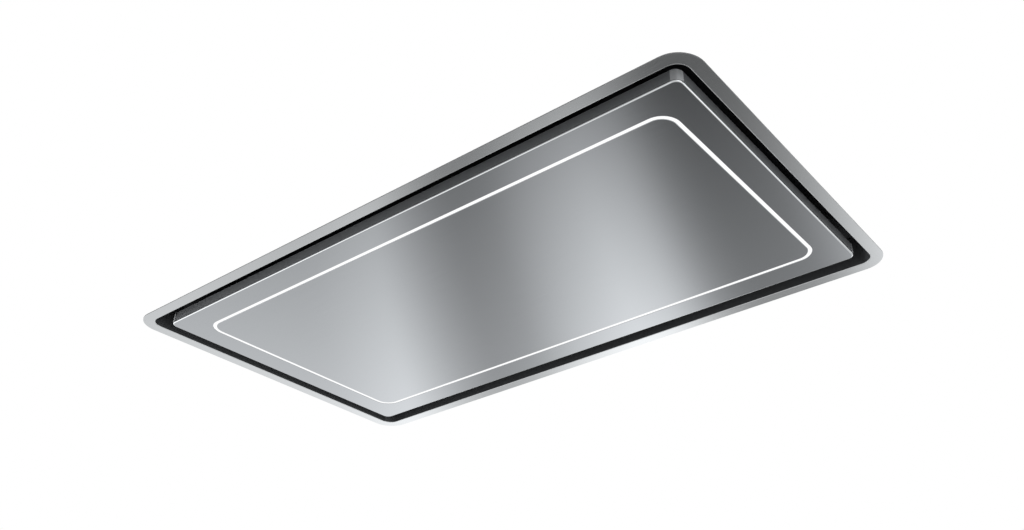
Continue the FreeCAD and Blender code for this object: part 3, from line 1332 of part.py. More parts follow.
def cable_gland():
    """The gland for the supply cord in the left end of the case."""
    out = -X_AXIS
    place = V(-CASE_END, GLAND_PLACE_Y, GLAND_LEVEL)
    body = hexagon(GLAND_HEX, GLAND_HEX_LENGTH, place, out)
    cap = Part.makeCylinder(GLAND_CAP_RADIUS, GLAND_CAP_LENGTH, place + out * GLAND_HEX_LENGTH, out)
    end = place.x - GLAND_HEX_LENGTH - GLAND_CAP_LENGTH + EDGE_TOLERANCE
    cap = fillet_where(cap, GLAND_CAP_ROUND, lambda edge: edge.Closed and edge.BoundBox.XMax < end)
    depth = CASE_SHEET + GLAND_LOCKNUT
    thread = Part.makeCylinder(GLAND_THREAD, depth, place - out * depth, out)
    nut = hexagon(GLAND_HEX, GLAND_LOCKNUT, place - out * depth, out)
    whole = body.fuse([cap, thread, nut])
    length = depth + GLAND_HEX_LENGTH + GLAND_CAP_LENGTH
    return whole.cut(Part.makeCylinder(GLAND_BORE, length, place - out * depth, out))


def lead_level():
    """The level of the motor's lead where it lies on the deck."""
    return DECK_TOP + LEAD_RADIUS + LEAD_PLAY


def motor_lead():
    """The lead from the control box along the deck and up to its plug on the motor's spider."""
    plug_y = FAN_Y + SPIDER_DISC - PLUG_LENGTH / 2
    end_y = plug_y + PLUG_LENGTH / 2
    top = MOTOR_TOP + PLUG_HEIGHT / 2
    route = [
        (LEAD_EXIT_X, CONTROL_DEPTH / 2 - CONTROL_WALL, lead_level()),
        (LEAD_EXIT_X, LEAD_RUN_Y, lead_level()),
        (FAN_X, LEAD_RUN_Y, lead_level()),
        (FAN_X, LEAD_RUN_Y, top),
        (FAN_X, end_y, top),
    ]
    plug = block(PLUG_WIDTH, PLUG_LENGTH, PLUG_HEIGHT, (FAN_X, plug_y), MOTOR_TOP)
    return [cable(route, LEAD_RADIUS, LEAD_BEND), plug]


def light_lead():
    """The lead from the control box down through the deck to the light's contact."""
    route = [
        (CONTACT_X, CONTROL_DEPTH / 2 - CONTROL_WALL, LIGHT_LEAD_LEVEL),
        (CONTACT_X, CONTACT_Y, LIGHT_LEAD_LEVEL),
        (CONTACT_X, CONTACT_Y, DECK_LOW),
    ]
    return cable(route, LIGHT_LEAD_RADIUS, LIGHT_LEAD_BEND)


# ---------------------------------------------------------------- fasteners
def screw_group(*rows):
    """Separate screws, from rows of screw places and the grip that each row needs."""
    return [small_screw(place, out, grip) for places, grip in rows for place, out in places]


def case_screws():
    """The screws that hold the case, the deck, the collar, the hinges and the motor."""
    sheets = 2 * CASE_SHEET
    return screw_group(
        (frame_screws(), CASE_SHEET + CASE_PLAY + FRAME_SHEET),
        (deck_screws(), CASE_SHEET + DECK_SHEET),
        (fold_screws(), sheets),
        (cover_screws(), sheets),
        (collar_screws(), COLLAR_PLATE_SHEET + CASE_SHEET),
        (bracket_screws(), HINGE_BASE + DECK_SHEET),
        (spider_screws(), SPIDER_SHEET + GROMMET_HEIGHT + SCROLL_WALL),
    )


def panel_screws():
    """The screws that ride on the panel."""
    return screw_group(
        (backing_screws(), BACKING_SHEET + PANEL_SHEET),
        (leaf_screws(), HINGE_BASE + BACKING_SHEET),
    )


# ---------------------------------------------------------------- all pieces
def main():
    """Makes every piece and writes it."""
    os.makedirs("parts", exist_ok=True)
    export("ceiling_frame", ceiling_frame())
    export("flange_gasket", flange_gasket())
    export("case_front", side_sheet())
    export("case_back", mirrored(side_sheet(), Y_AXIS))
    export("case_left", case_left())
    export("case_right", case_right())
    export("case_cover", case_cover())
    export("hanger_brackets", *hanger_brackets())
    export("hanger_screws", *hanger_screws())
    export("case_screws", *case_screws())
    export("filter_deck", filter_deck())
    export("filter_rails", *filter_rails())
    for name, centre in zip(("left", "right"), filter_centres()):
        export("filter_frame_" + name, filter_frame(centre))
        export("filter_mesh_" + name, filter_mesh(centre))
        export("filter_latch_" + name, filter_latch(centre))
    export("panel_rim", panel_rim())
    export("panel_face", panel_face())
    export("panel_backing", panel_backing())
    export("panel_stiffeners", *panel_stiffeners())
    export("panel_screws", *panel_screws())
    export("light_diffuser", light_diffuser())
    export("light_channel", light_channel())
    export("led_strip", led_strip())
    export("hinge_leaves", *[hinge_leaf(x) for x in hinge_places()])
    export("hinge_brackets", *[hinge_bracket(x) for x in hinge_places()])
    export("hinge_pins", *[hinge_pin(x) for x in hinge_places()])
    export("magnet_catches", *[magnet_catch(centre) for centre in catch_places()])
    export("catch_magnets", *[catch_magnet(centre) for centre in catch_places()])
    export("strike_plates", *[strike_plate(centre) for centre in catch_places()])
    export("light_contact_plate", light_contact_plate())
    export("light_contact_block", light_contact_block())
    export("scroll_lower", scroll_lower())
    export("scroll_upper", scroll_upper())
    export("inlet_ring", inlet_ring())
    export("impeller", impeller())
    export("motor_housing", motor_housing())
    export("motor_bearings", *motor_bearings())
    export("motor_spider", motor_spider())
    export("motor_stator", motor_stator())
    export("motor_rotor", motor_rotor())
    export("motor_shaft", motor_shaft())
    export("rubber_mounts", *rubber_mounts())
    export("blower_rails", *blower_rails())
    export("duct_adapter", duct_adapter())
    export("duct_collar", duct_collar())
    export("flap_pin", flap_pin())
    export("flap_back", flap(1))
    export("flap_front", flap(-1))
    export("control_box", control_box())
    export("control_lid", control_lid())
    export("control_board", control_board())
    export("light_driver", light_driver())
    export("motor_capacitor", motor_capacitor())
    export("cable_gland", cable_gland())
    export("motor_lead", *motor_lead())
    export("light_lead", light_lead())


main()
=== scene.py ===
"""Looks of the ceiling range hood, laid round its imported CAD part.

Everything is in metres in the part's own frame: the visible underside is the plane Z = 0, X runs along the
long side towards the duct, Y along the short side towards the panel's hinges, and Z points into the ceiling.
"""

import json
import math

import bpy
import numpy as np
from mathutils import Matrix, Vector


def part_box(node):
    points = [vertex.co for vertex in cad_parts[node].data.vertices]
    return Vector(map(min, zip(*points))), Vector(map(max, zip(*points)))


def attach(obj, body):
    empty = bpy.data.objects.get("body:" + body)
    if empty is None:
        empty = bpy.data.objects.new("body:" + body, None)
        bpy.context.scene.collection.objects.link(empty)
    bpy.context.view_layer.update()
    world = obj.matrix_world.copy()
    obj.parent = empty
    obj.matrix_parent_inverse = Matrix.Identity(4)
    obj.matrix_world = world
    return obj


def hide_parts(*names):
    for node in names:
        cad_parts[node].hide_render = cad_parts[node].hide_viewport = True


bl_info = {
    "name": "Ceiling range hood",
    "version": (1, 0, 0),
    "blender": (4, 5, 0),
    "location": "View3D > Sidebar > Hood",
    "description": "Finishes, fine sheet edges, light and stage of a ceiling range hood",
    "category": "Add Mesh",
}

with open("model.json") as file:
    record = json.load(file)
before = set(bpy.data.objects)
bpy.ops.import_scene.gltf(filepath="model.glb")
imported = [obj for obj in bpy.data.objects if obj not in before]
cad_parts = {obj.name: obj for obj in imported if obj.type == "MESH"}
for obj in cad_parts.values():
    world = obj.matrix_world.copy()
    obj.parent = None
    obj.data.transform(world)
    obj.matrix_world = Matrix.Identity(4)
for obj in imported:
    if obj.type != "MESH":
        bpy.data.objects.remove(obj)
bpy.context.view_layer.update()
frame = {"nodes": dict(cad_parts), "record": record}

# The camera as solved from the photograph: place in metres; bearing, rise and roll in degrees; focal length
# and picture width in pixels; lens shift as shares of the width.
CAMERA_PLACE = (0.79883, -0.89739, -0.68811)
CAMERA_TURN = (-37.027, 31.335, -0.392)
FOCAL_PIXELS = 1025.67
PICTURE_WIDTH = 1024
LENS_SHIFT = (-0.0539, 0.0010)
SENSOR_WIDTH = 36.0

# How finely curves are drawn: points on a round corner of a sheet and of the ceiling's hole, sides of a wire.
CORNER_POINTS = 12
HOLE_POINTS = 6
WIRE_SIDES = 5

# Each lamp's name, place and size in metres, and power in watts.
LAMPS = (
    ("side soft box", (1.9, -0.58, -0.93), 1.3, 26.0),
    ("low soft box", (-0.4, 0.3, -2.6), 1.8, 24.0),
)

# The ceiling in metres: its side and corner, how much less its hole measures than the flange, and the hole's
# corner. The boards are what reflections see of its back, as a strength.
CEILING_SIDE = 9.0
CEILING_CORNER = 0.05
HOLE_MARGIN = 0.02
HOLE_CORNER = 0.02
BOARDS_SHADE = 0.75

# The room that the steel mirrors. Angles are in degrees, and the tables give a value at each bearing.
ROOM_RADIUS = 60.0
ROOM_RINGS = 47
ROOM_COLUMNS = 96
ROOM_REACH = 89.0
MIDDLE_DIP = 31.0
BEARING_SKEW = 0.35
WALL_SHADES = (
    (-180, 0.45), (-130, 0.45), (-124, 1.1), (-112, 1.3), (-80, 1.3), (-71, 0.55), (-54, 0.57), (-49.2, 0.78),
    (-46.2, 0.48), (-44, 0.33), (-41, 0.40), (-37.5, 0.72), (-33.5, 1.0), (-30.7, 0.86), (-27.6, 0.33),
    (-25, 0.25), (-20.5, 0.31), (-15, 0.98), (-4, 0.95), (8, 0.3), (20, 0.3), (24, 1.0), (45, 1.0),
    (49, 0.25), (66, 0.25), (74, 1.0), (130, 1.0), (140, 0.45), (180, 0.45),
)
# Where the walls fade with the dip (1), the dips off the middle between which they do, and the share of their
# shade that is added at each.
FADING_WALLS = ((-180, 0.0), (-72, 0.0), (-64, 1.0), (-14, 1.0), (-6, 0.0), (180, 0.0))
FADE_DIPS = (-9.0, 12.0)
FADE_SHARES = (0.5, -0.72)
# Where the floor begins sooner (1), by how much, and the dips off the middle between which it takes over.
SOONER_FLOOR = ((-180, 0.0), (-3.6, 0.0), (7.2, 1.0), (180, 1.0))
SOONER_BY = 15.0
FLOOR_DIPS = (14.0, 20.0)
# Where the floor's light strips lie (1), their strength, the dips at which they end, and the floor's own
# shade.
FLOOR_STRIPS = (
    (-180, 0.0), (-148, 0.0), (-140, 1.0), (-62, 1.0), (-54, 0.0),
    (22, 0.0), (28, 1.0), (118, 1.0), (126, 0.0),
)
STRIP_STRENGTH = 0.4
STRIP_DIPS = (28.0, 36.0)
FLOOR_SHADE = 0.6
LOFT_SHADES = ((-180, 0.55), (-120, 1.0), (-60, 0.5), (0, 0.95), (60, 0.5), (120, 1.0), (180, 0.55))


def side(node, axis):
    """The extent of a CAD node along one axis, in metres."""
    low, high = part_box(node)
    return high[axis] - low[axis]


def linear(code):
    """An sRGB hex colour as linear red, green, blue and a full alpha."""
    parts = np.array([int(code[i:i + 2], 16) / 255 for i in (1, 3, 5)])
    low, high = parts / 12.92, ((parts + 0.055) / 1.055) ** 2.4
    return tuple(np.where(parts <= 0.04045, low, high)) + (1.0,)


# ---------------------------------------------------------------- sizes and colours that a user would change
def length(name, text, value):
    """A length in metres as a property."""
    return bpy.props.FloatProperty(name=name, description=text, default=value, min=0.0, unit="LENGTH")


def colour(name, text, code):
    """A colour as a property, from its sRGB hex value."""
    return bpy.props.FloatVectorProperty(
        name=name, description=text, default=linear(code), size=4, min=0.0, max=1.0, subtype="COLOR"
    )


class HoodSizes(bpy.types.PropertyGroup):
    """Sizes of the fine edges that the looks add to the CAD shapes."""

    flange_length: length("Flange length", "Long side of the visible flange", side("ceiling_frame", 0))
    flange_depth: length("Flange depth", "Short side of the visible flange", side("ceiling_frame", 1))
    flange_width: length("Flange width", "Width of the visible flange", 0.016)
    flange_corner: length("Flange corner", "Radius of the flange's outer corners", 0.033)
    flange_bend: length("Flange bend", "Outer radius of the fold from the flange up to the stand", 0.0007)
    frame_sheet: length("Frame sheet", "Sheet thickness of the ceiling frame", 0.001)
    panel_length: length("Panel length", "Long side of the panel", side("panel_rim", 0))
    panel_depth: length("Panel depth", "Short side of the panel", side("panel_rim", 1))
    panel_corner: length("Panel corner", "Radius of the panel's corners in plan", 0.010)
    panel_bend: length("Panel bend", "Outer radius of the fold along the panel's edge", 0.0018)
    panel_sheet: length("Panel sheet", "Sheet thickness of the panel", 0.001)
    panel_lip: length("Panel lip", "Width of the lip turned in along the panel's top", 0.009)
    slot_corner: length("Slot corner", "Corner radius of the outer edge of the lit slot", 0.02435)
    slot_length: length("Slot length", "Long side of the outer edge of the lit slot", 0.7757)
    slot_depth: length("Slot depth", "Short side of the outer edge of the lit slot", 0.3557)
    slot_width: length("Slot width", "Width of the lit slot", 0.0047)
    slot_bend: length("Slot bend", "Outer radius of the folds along the lit slot", 0.0005)
    slot_fold: length("Slot fold", "Height of the sheet turned up along the lit slot", 0.008)
    edge: length("Cut edge", "Radius left on cut sheet edges by deburring", 0.0003)
    mesh_pitch: length("Mesh pitch", "Spacing of the wires of the grease filters", 0.0068)
    wire: length("Mesh wire", "Diameter of the wires of the grease filters", 0.0016)


class HoodColours(bpy.types.PropertyGroup):
    """Colours of the finishes that show most."""

    steel: colour("Panel steel", "Brushed stainless steel of the panel", "#cfd0d1")
    flange: colour("Flange steel", "Satin stainless steel of the ceiling frame", "#efefee")
    zinc: colour("Galvanised sheet", "Zinc-coated sheet of the case", "#b3b7b9")
    light: colour("Light", "Opal strip of the light", "#ffffff")


# ---------------------------------------------------------------- surfaces as whole arrays
def rounded(points, radii, closed=True, steps=6):
    """A polyline in the plane whose corners are arcs. At each corner with half angle h, the arc of radius r
    has its centre r / sin(h) along the bisector, and its points turn evenly from one tangent point to the
    other."""
    corner = np.array(points, float)
    before, after = np.roll(corner, 1, 0) - corner, np.roll(corner, -1, 0) - corner
    before /= np.linalg.norm(before, axis=1)[:, None]
    after /= np.linalg.norm(after, axis=1)[:, None]
    half = np.arccos(np.clip((before * after).sum(1), -1, 1)) / 2
    radius = np.broadcast_to(np.array(radii, float), half.shape)
    middle = before + after
    middle /= np.linalg.norm(middle, axis=1)[:, None]
    centre = corner + middle * (radius / np.sin(half))[:, None]
    reach = (radius / np.tan(half))[:, None]
    start = (corner + before * reach - centre) / radius[:, None]
    end = (corner + after * reach - centre) / radius[:, None]
    turn = np.arccos(np.clip((start * end).sum(1), -1, 1))[:, None, None]
    share = np.linspace(0, 1, steps)[None, :, None]
    arc = (np.sin((1 - share) * turn) * start[:, None] + np.sin(share * turn) * end[:, None]) / np.sin(turn)
    line = centre[:, None] + radius[:, None, None] * arc
    if closed:
        return line.reshape(-1, 2)
    return np.vstack([corner[:1], line[1:-1].reshape(-1, 2), corner[-1:]])


def held(line, closed=True, gap=0.00015):
    """A profile with one more point just inside both ends of each long straight run. The two points lie a
    small gap from the ends along the run, so shading stays flat between them."""
    after = np.roll(line, -1, 0)
    size = np.linalg.norm(after - line, axis=1)
    long_run = size > 4 * gap
    long_run[-1] &= closed
    step = (after - line) * (gap / size)[:, None]
    points = np.stack([line, line + step, after - step], 1)
    return points[np.stack([np.ones_like(long_run), long_run, long_run], 1)]


def upright(section):
    """Which runs of a closed profile are upright: those that rise more than three times as far as they go
    out."""
    run = np.abs(np.roll(section, -1, 0) - section)
    return run[:, 1] > 3 * run[:, 0]


def rings(sizes, steps=CORNER_POINTS):
    """Level rings round rectangles with round corners, one for each row of long side, short side, corner
    radius and height. A ring's point is the centre of its corner's circle plus the radius times (cos,
    sin)."""
    sizes = np.array(sizes, float)
    wide, deep, corner, level = (sizes[:, [k]] for k in range(4))
    angle = (np.arange(4)[:, None] * math.pi / 2 + np.linspace(0, math.pi / 2, steps)).ravel()
    quarter = np.repeat(np.arange(4), steps)
    x = np.array([1, -1, -1, 1])[quarter] * (wide / 2 - corner) + corner * np.cos(angle)
    y = np.array([1, 1, -1, -1])[quarter] * (deep / 2 - corner) + corner * np.sin(angle)
    return np.stack([x, y, np.broadcast_to(level, x.shape)], 2)


def around(profile, base):
    """A profile of outward offset and height carried round a rectangle of long side, short side and
    corner."""
    out, level = np.array(profile).T
    return rings(np.column_stack([base[0] + 2 * out, base[1] + 2 * out, base[2] + out, level]))


def wrapped(grid, closed_rows):
    """Quads of a grid of rings: row i joins row i + 1, and each ring closes on itself. With closed rows the
    last ring joins the first, as on a hoop."""
    rows, columns = grid.shape[:2]
    i = np.arange(rows if closed_rows else rows - 1)[:, None]
    j = np.arange(columns)[None, :]
    here, right = i * columns + j, i * columns + (j + 1) % columns
    up, both = (i + 1) % rows * columns + j, (i + 1) % rows * columns + (j + 1) % columns
    return np.stack([here, right, both, up], 2).reshape(-1, 4)


def capped(grid):
    """Points, quads and triangles of rings whose first and last are closed by a fan to their own middle."""
    columns = grid.shape[1]
    points = np.vstack([grid.reshape(-1, 3), grid[0].mean(0), grid[-1].mean(0)])
    first, last = len(points) - 2, len(points) - 1
    j = np.arange(columns)
    following = (j + 1) % columns
    base = (len(grid) - 1) * columns
    fans = np.vstack([
        np.column_stack([following, j, np.full(columns, first)]),
        np.column_stack([base + j, base + following, np.full(columns, last)]),
    ])
    return points, wrapped(grid, False), fans


def tubes(lines, radius, steps=WIRE_SIDES):
    """Closed round bars along many lines at once, as an array of line, point and coordinate. Each ring lies
    square to the line's own direction, and its points are radius times (cos, sin) in that plane."""
    along = np.gradient(lines, axis=1)
    along /= np.linalg.norm(along, axis=2)[:, :, None]
    across = np.cross(along, (0.0, 0.0, 1.0))
    across /= np.linalg.norm(across, axis=2)[:, :, None]
    rise = np.cross(across, along)
    angle = np.arange(steps) * 2 * math.pi / steps
    ring = across[:, :, None] * np.cos(angle)[:, None] + rise[:, :, None] * np.sin(angle)[:, None]
    grid = lines[:, :, None] + radius * ring
    count, length_count = lines.shape[:2]
    i, j = np.arange(length_count - 1)[:, None], np.arange(steps)[None, :]
    here, right = i * steps + j, i * steps + (j + 1) % steps
    quads = np.stack([here, here + steps, right + steps, right], 2).reshape(-1, 4)
    offset = np.arange(count)[:, None, None] * length_count * steps
    loop = np.arange(steps)
    ends = np.stack([loop, (length_count - 1) * steps + loop[::-1]])
    return grid.reshape(-1, 3), (quads + offset).reshape(-1, 4), (ends + offset).reshape(-1, steps)


def mesh_piece(name, points, *faces, sharp=35.0):
    """A mesh object at the origin from an array of points and arrays of faces, smooth up to a sharp angle."""
    mesh = bpy.data.meshes.new(name)
    mesh.from_pydata(points.tolist(), [], [row for group in faces for row in group.tolist()])
    mesh.polygons.foreach_set("use_smooth", np.ones(len(mesh.polygons), bool))
    mesh.set_sharp_from_angle(angle=math.radians(sharp))
    mesh.validate()
    piece = bpy.data.objects.new(name, mesh)
    bpy.context.scene.collection.objects.link(piece)
    return piece


def fit(piece, body, slot, finish, *nodes):
    """Gives a piece its finish and its body, and hides the CAD nodes that it stands for. The slot is not
    used.
    """
    piece.data.materials.append(finish)
    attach(piece, body)
    if nodes:
        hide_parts(*nodes)
    return piece


def finish_of(title):
    """A finish that the finishes operator has made, by its material's name."""
    return bpy.data.materials[title]


def more_finishes(piece, grid, *choices):
    """Gives some faces of a wrapped grid other finishes: each choice is a title and the faces, as a mask of
    rows or of rows and columns."""
    index = np.zeros(grid.shape[:2], np.int32)
    for number, (faces, title) in enumerate(choices, 1):
        piece.data.materials.append(finish_of(title))
        index[faces] = number
    piece.data.polygons.foreach_set("material_index", index.ravel())


# ---------------------------------------------------------------- materials
def node(tree, kind, settings=None, links=None):
    """Adds a node, sets its attributes and input values, and links its inputs from other nodes' outputs."""
    made = tree.nodes.new(kind)
    for key, value in (settings or {}).items():
        if isinstance(key, str) and hasattr(made, key):
            setattr(made, key, value)
        else:
            made.inputs[key].default_value = value
    for key, (source, output) in (links or {}).items():
        tree.links.new(source.outputs[output], made.inputs[key])
    return made


def blank(name):
    """A material with an empty node tree and its output."""
    material = bpy.data.materials.new(name)
    material.use_nodes = True
    material.node_tree.nodes.clear()
    return material, material.node_tree, node(material.node_tree, "ShaderNodeOutputMaterial")


def set_stops(made, stops):
    """Sets a colour ramp's stops to greys, each with its bearing from -180 to 180 degrees."""
    band = made.color_ramp
    while len(band.elements) < len(stops):
        band.elements.new(0.5)
    for element, (bearing, value) in zip(band.elements, stops):
        element.position = bearing / 360 + 0.5
        element.color = (value, value, value, 1.0)
    return made


def seen_plainly(tree):
    """The light path, and 1 for the rays that see the room plainly: from the camera, mirrored or through
    glass."""
    path = node(tree, "ShaderNodeLightPath")
    seen = node(
        tree, "ShaderNodeMath", {"operation": "MAXIMUM"},
        {0: (path, "Is Camera Ray"), 1: (path, "Is Glossy Ray")})
    seen = node(
        tree, "ShaderNodeMath", {"operation": "MAXIMUM"}, {0: (seen, 0), 1: (path, "Is Transmission Ray")})
    return path, seen


def surface(name, base, values, stretch, scale, kind="noise", shade=0.1, gloss=0.1, relief=0.0, depth=0.0001,
            around_z=False):
    """A finish from one pattern in the piece's own metres: the pattern varies the colour by a share, the
    roughness by an amount, and raises the surface by a share of a real depth. Its grain may run around Z."""
    material, tree, output = blank(name)
    place = node(tree, "ShaderNodeTexCoord")
    turned = node(tree, "ShaderNodeMapping", {"Scale": stretch}, {"Vector": (place, "Object")})
    if kind == "cells":
        source = node(tree, "ShaderNodeTexVoronoi", {"Scale": scale}, {"Vector": (turned, 0)})
        pattern = (node(tree, "ShaderNodeRGBToBW", links={0: (source, "Color")}), 0)
    elif kind == "layers":
        source = node(
            tree, "ShaderNodeTexWave", {"bands_direction": "Z", "Scale": scale}, {"Vector": (turned, 0)})
        pattern = (source, 1)
    else:
        source = node(tree, "ShaderNodeTexNoise", {"Scale": scale, "Detail": 3.0}, {"Vector": (turned, 0)})
        pattern = (source, 0)
    dark, bright = [[min(1.0, c * k) for c in base[:3]] + [1.0] for k in (1 - shade, 1 + shade)]
    tint = node(tree, "ShaderNodeMix", {"data_type": "RGBA", 6: dark, 7: bright}, {0: pattern})
    rough = values.get("Roughness", 0.5)
    spread = node(tree, "ShaderNodeMapRange", {3: max(0.02, rough - gloss), 4: rough + gloss}, {0: pattern})
    links = {"Base Color": (tint, 2), "Roughness": (spread, 0)}
    if relief:
        bump = node(tree, "ShaderNodeBump", {"Strength": relief, "Distance": depth}, {"Height": pattern})
        links["Normal"] = (bump, 0)
    if around_z:
        grain = node(tree, "ShaderNodeTangent", {"direction_type": "RADIAL", "axis": "Z"})
        links["Tangent"] = (grain, 0)
    settings = {key: value for key, value in values.items() if key != "Roughness"}
    shader = node(tree, "ShaderNodeBsdfPrincipled", settings, links)
    tree.links.new(shader.outputs[0], output.inputs[0])
    return material


def make_finishes(colours):
    """All finishes by the name of the record's material slot."""
    mm = 1000.0
    metal = {"Metallic": 1.0}
    grained = {**metal, "Anisotropic": 0.9, "Anisotropic Rotation": 0.25}
    return {
        # Stainless sheet brushed along its length with a 180 grit belt: long fine lines that smear
        # reflections. The lines, 0.1 mm apart on the real sheet, are drawn 1 mm apart so that they show.
        "brushed_stainless": surface(
            "brushed stainless sheet", colours.steel, {**metal, "Roughness": 0.10},
            (0.012, 1.0, 1.0), mm / 1.0,
            shade=0.03, gloss=0.02, relief=0.02, depth=0.00004),
        # The panel's upright sides keep the duller grain of the coil, which scatters light from below.
        "satin_side": surface(
            "satin stainless side", colours.steel,
            {**grained, "Roughness": 0.42}, (1.0, 1.0, 0.02),
            mm / 1.0, shade=0.04, gloss=0.04, around_z=True),
        # The fold's outer side is lighter than the sheet, a painted highlight that draws a thin shining line.
        "fold_painted_highlight": surface(
            "fold with painted highlight", linear("#f6f6f5"), {**metal, "Roughness": 0.12},
            (0.02, 1.0, 1.0), mm / 1.0,
            shade=0.02, gloss=0.02),
        # The panel's corners have a rougher upright grain that catches light from below, and a lighter colour
        # than the sheet as painted highlight.
        "rough_corner_painted_highlight": surface(
            "rough corner with painted highlight", linear("#f2f2f2"),
            {**grained, "Roughness": 0.62}, (1.0, 1.0, 0.02),
            mm / 1.0, shade=0.04, gloss=0.04, around_z=True),
        # The frame's stand is darker than the brushed side: painted shade for the gap that it faces.
        "stand_painted_shade": surface(
            "stand stainless with painted shade", linear("#6a6b6c"),
            {**grained, "Roughness": 0.42}, (1.0, 1.0, 0.02),
            mm / 1.0, shade=0.04, gloss=0.04, around_z=True),
        # A sheet's sheared edge: rough, and darkened to mid grey as painted shade so that it shows no bright
        # reflection.
        "sheared_edge_painted_shade": surface(
            "sheared edge with painted shade", linear("#5f6061"), {**metal, "Roughness": 0.6},
            (1.0, 1.0, 1.0), mm / 1.0,
            shade=0.1, gloss=0.1),
        # The frame is the same steel with a duller satin finish, which gives a soft even grey.
        "satin_stainless": surface(
            "satin stainless frame", colours.flange, {**metal, "Roughness": 0.13}, (0.02, 1.0, 1.0), mm / 1.0,
            shade=0.03, gloss=0.02),
        # Hot-dip zinc on rolled sheet: crystals 12 mm across, each a little lighter or darker than the next.
        "galvanised_sheet": surface(
            "galvanised sheet", colours.zinc, {**metal, "Roughness": 0.42}, (1.0, 1.0, 1.0), mm / 12.0,
            kind="cells", shade=0.09, gloss=0.07, relief=0.1, depth=0.00003),
        # Bright zinc plating on pressed steel: clean, slightly mottled shine.
        "zinc_plated_steel": surface(
            "bright zinc-plated steel", linear("#c6c8c4"), {**metal, "Roughness": 0.30},
            (1.0, 1.0, 1.0), mm / 3.0,
            shade=0.05, gloss=0.06),
        # Centreless ground steel: fine rings round the bar.
        "bright_steel": surface(
            "ground bright steel", linear("#c9cacb"), {**metal, "Roughness": 0.18}, (0.1, 0.1, 1.0), mm / 0.8,
            shade=0.04, gloss=0.05),
        # Powder coat baked on sheet: black, satin, with a faint orange peel 1.5 mm across.
        "black_painted_steel": surface(
            "black powder coat", linear("#2a2b2d"), {"Roughness": 0.42}, (1.0, 1.0, 1.0), mm / 1.5,
            shade=0.12, gloss=0.05, relief=0.25, depth=0.0001),
        # Woven and rolled aluminium of the filters, mill finish: light grey, dull shine.
        "filter_aluminium": surface(
            "mill-finish filter aluminium", linear("#c3c6c9"), {**metal, "Roughness": 0.36}, (1.0, 1.0, 1.0),
            mm / 4.0, shade=0.08, gloss=0.08),
        # Rolled aluminium sheet: faint lines along the rolling direction, 2 mm apart.
        "plain_aluminium": surface(
            "rolled aluminium sheet", linear("#bfc2c4"), {**metal, "Roughness": 0.36},
            (0.03, 1.0, 1.0), mm / 2.0,
            shade=0.06, gloss=0.06),
        # White solder mask on a laminate strip: even satin white.
        "light_board": surface(
            "white solder mask", linear("#f2f2ec"), {"Roughness": 0.45},
            (1.0, 1.0, 1.0), mm / 2.0, shade=0.03),
        # ABS moulded in a spark-eroded tool: black with a fine grain 0.6 mm across, drawn at 1 mm.
        "black_plastic": surface(
            "moulded black ABS", linear("#1b1b1d"), {"Roughness": 0.5}, (1.0, 1.0, 1.0), mm / 1.0,
            shade=0.15, gloss=0.08, relief=0.3, depth=0.00008),
        # Flame-retardant ABS, moulded with a light grain: plain mid grey.
        "grey_plastic": surface(
            "moulded grey ABS", linear("#85878a"), {"Roughness": 0.48}, (1.0, 1.0, 1.0), mm / 1.2,
            shade=0.05, gloss=0.06, relief=0.25, depth=0.00008),
        # Glass-fibre laminate under green solder mask: tracks show as paler lanes 3 mm wide.
        "circuit_board": surface(
            "green solder mask", linear("#1f6b3c"), {"Roughness": 0.35}, (1.0, 1.0, 0.2), mm / 3.0,
            kind="cells", shade=0.25, gloss=0.05),
        # Self-extinguishing polypropylene can: white with a soft gloss.
        "capacitor_can": surface(
            "moulded white can", linear("#e4e3dc"), {"Roughness": 0.3},
            (1.0, 1.0, 1.0), mm / 6.0, shade=0.03),
        # Sintered ferrite: matt near-black with a fine speckle.
        "ferrite": surface(
            "sintered ferrite", linear("#2e2e30"), {"Roughness": 0.7}, (1.0, 1.0, 1.0), mm / 0.8, shade=0.2),
        # Stacked electrical sheet: dark grey with a line at each 0.5 mm lamination, drawn at 2 mm.
        "laminated_iron": surface(
            "stacked iron laminations", linear("#606265"), {**metal, "Roughness": 0.5}, (1.0, 1.0, 1.0),
            mm / 2.0 / 6.28, kind="layers", shade=0.25, gloss=0.1),
        # Closed-cell foam strip: matt charcoal with 1 mm cells.
        "foam_gasket": surface(
            "closed-cell foam", linear("#333333"), {"Roughness": 0.9}, (1.0, 1.0, 1.0), mm / 1.0,
            kind="cells", shade=0.3, relief=0.6, depth=0.0002),
        # Moulded nitrile rubber: matt black with a slight bloom.
        "rubber": surface(
            "moulded rubber", linear("#161616"), {"Roughness": 0.7}, (1.0, 1.0, 1.0), mm / 4.0, shade=0.3),
        # Extruded PVC sheath: smooth satin black with faint draw lines.
        "cable_sheath": surface(
            "extruded cable sheath", linear("#202022"), {"Roughness": 0.4},
            (1.0, 1.0, 1.0), mm / 5.0, shade=0.1),
        "opal_diffuser": make_opal(colours.light),
    }


def make_opal(light):
    """Opal acrylic lit from behind: an even white glow at which it renders white, with a soft gloss on it.
    The light sinks by three hundredths over some 40 mm, as it does between emitters."""
    material, tree, output = blank("lit opal acrylic")
    place = node(tree, "ShaderNodeTexCoord")
    noise = node(tree, "ShaderNodeTexNoise", {"Scale": 25.0}, {"Vector": (place, "Object")})
    glow = node(tree, "ShaderNodeMapRange", {3: 0.97, 4: 1.0}, {0: (noise, 0)})
    shader = node(
        tree, "ShaderNodeBsdfPrincipled",
        {"Base Color": linear("#202020"), "Emission Color": light, "Roughness": 0.35},
        {"Emission Strength": (glow, 0)},
    )
    tree.links.new(shader.outputs[0], output.inputs[0])
    return material


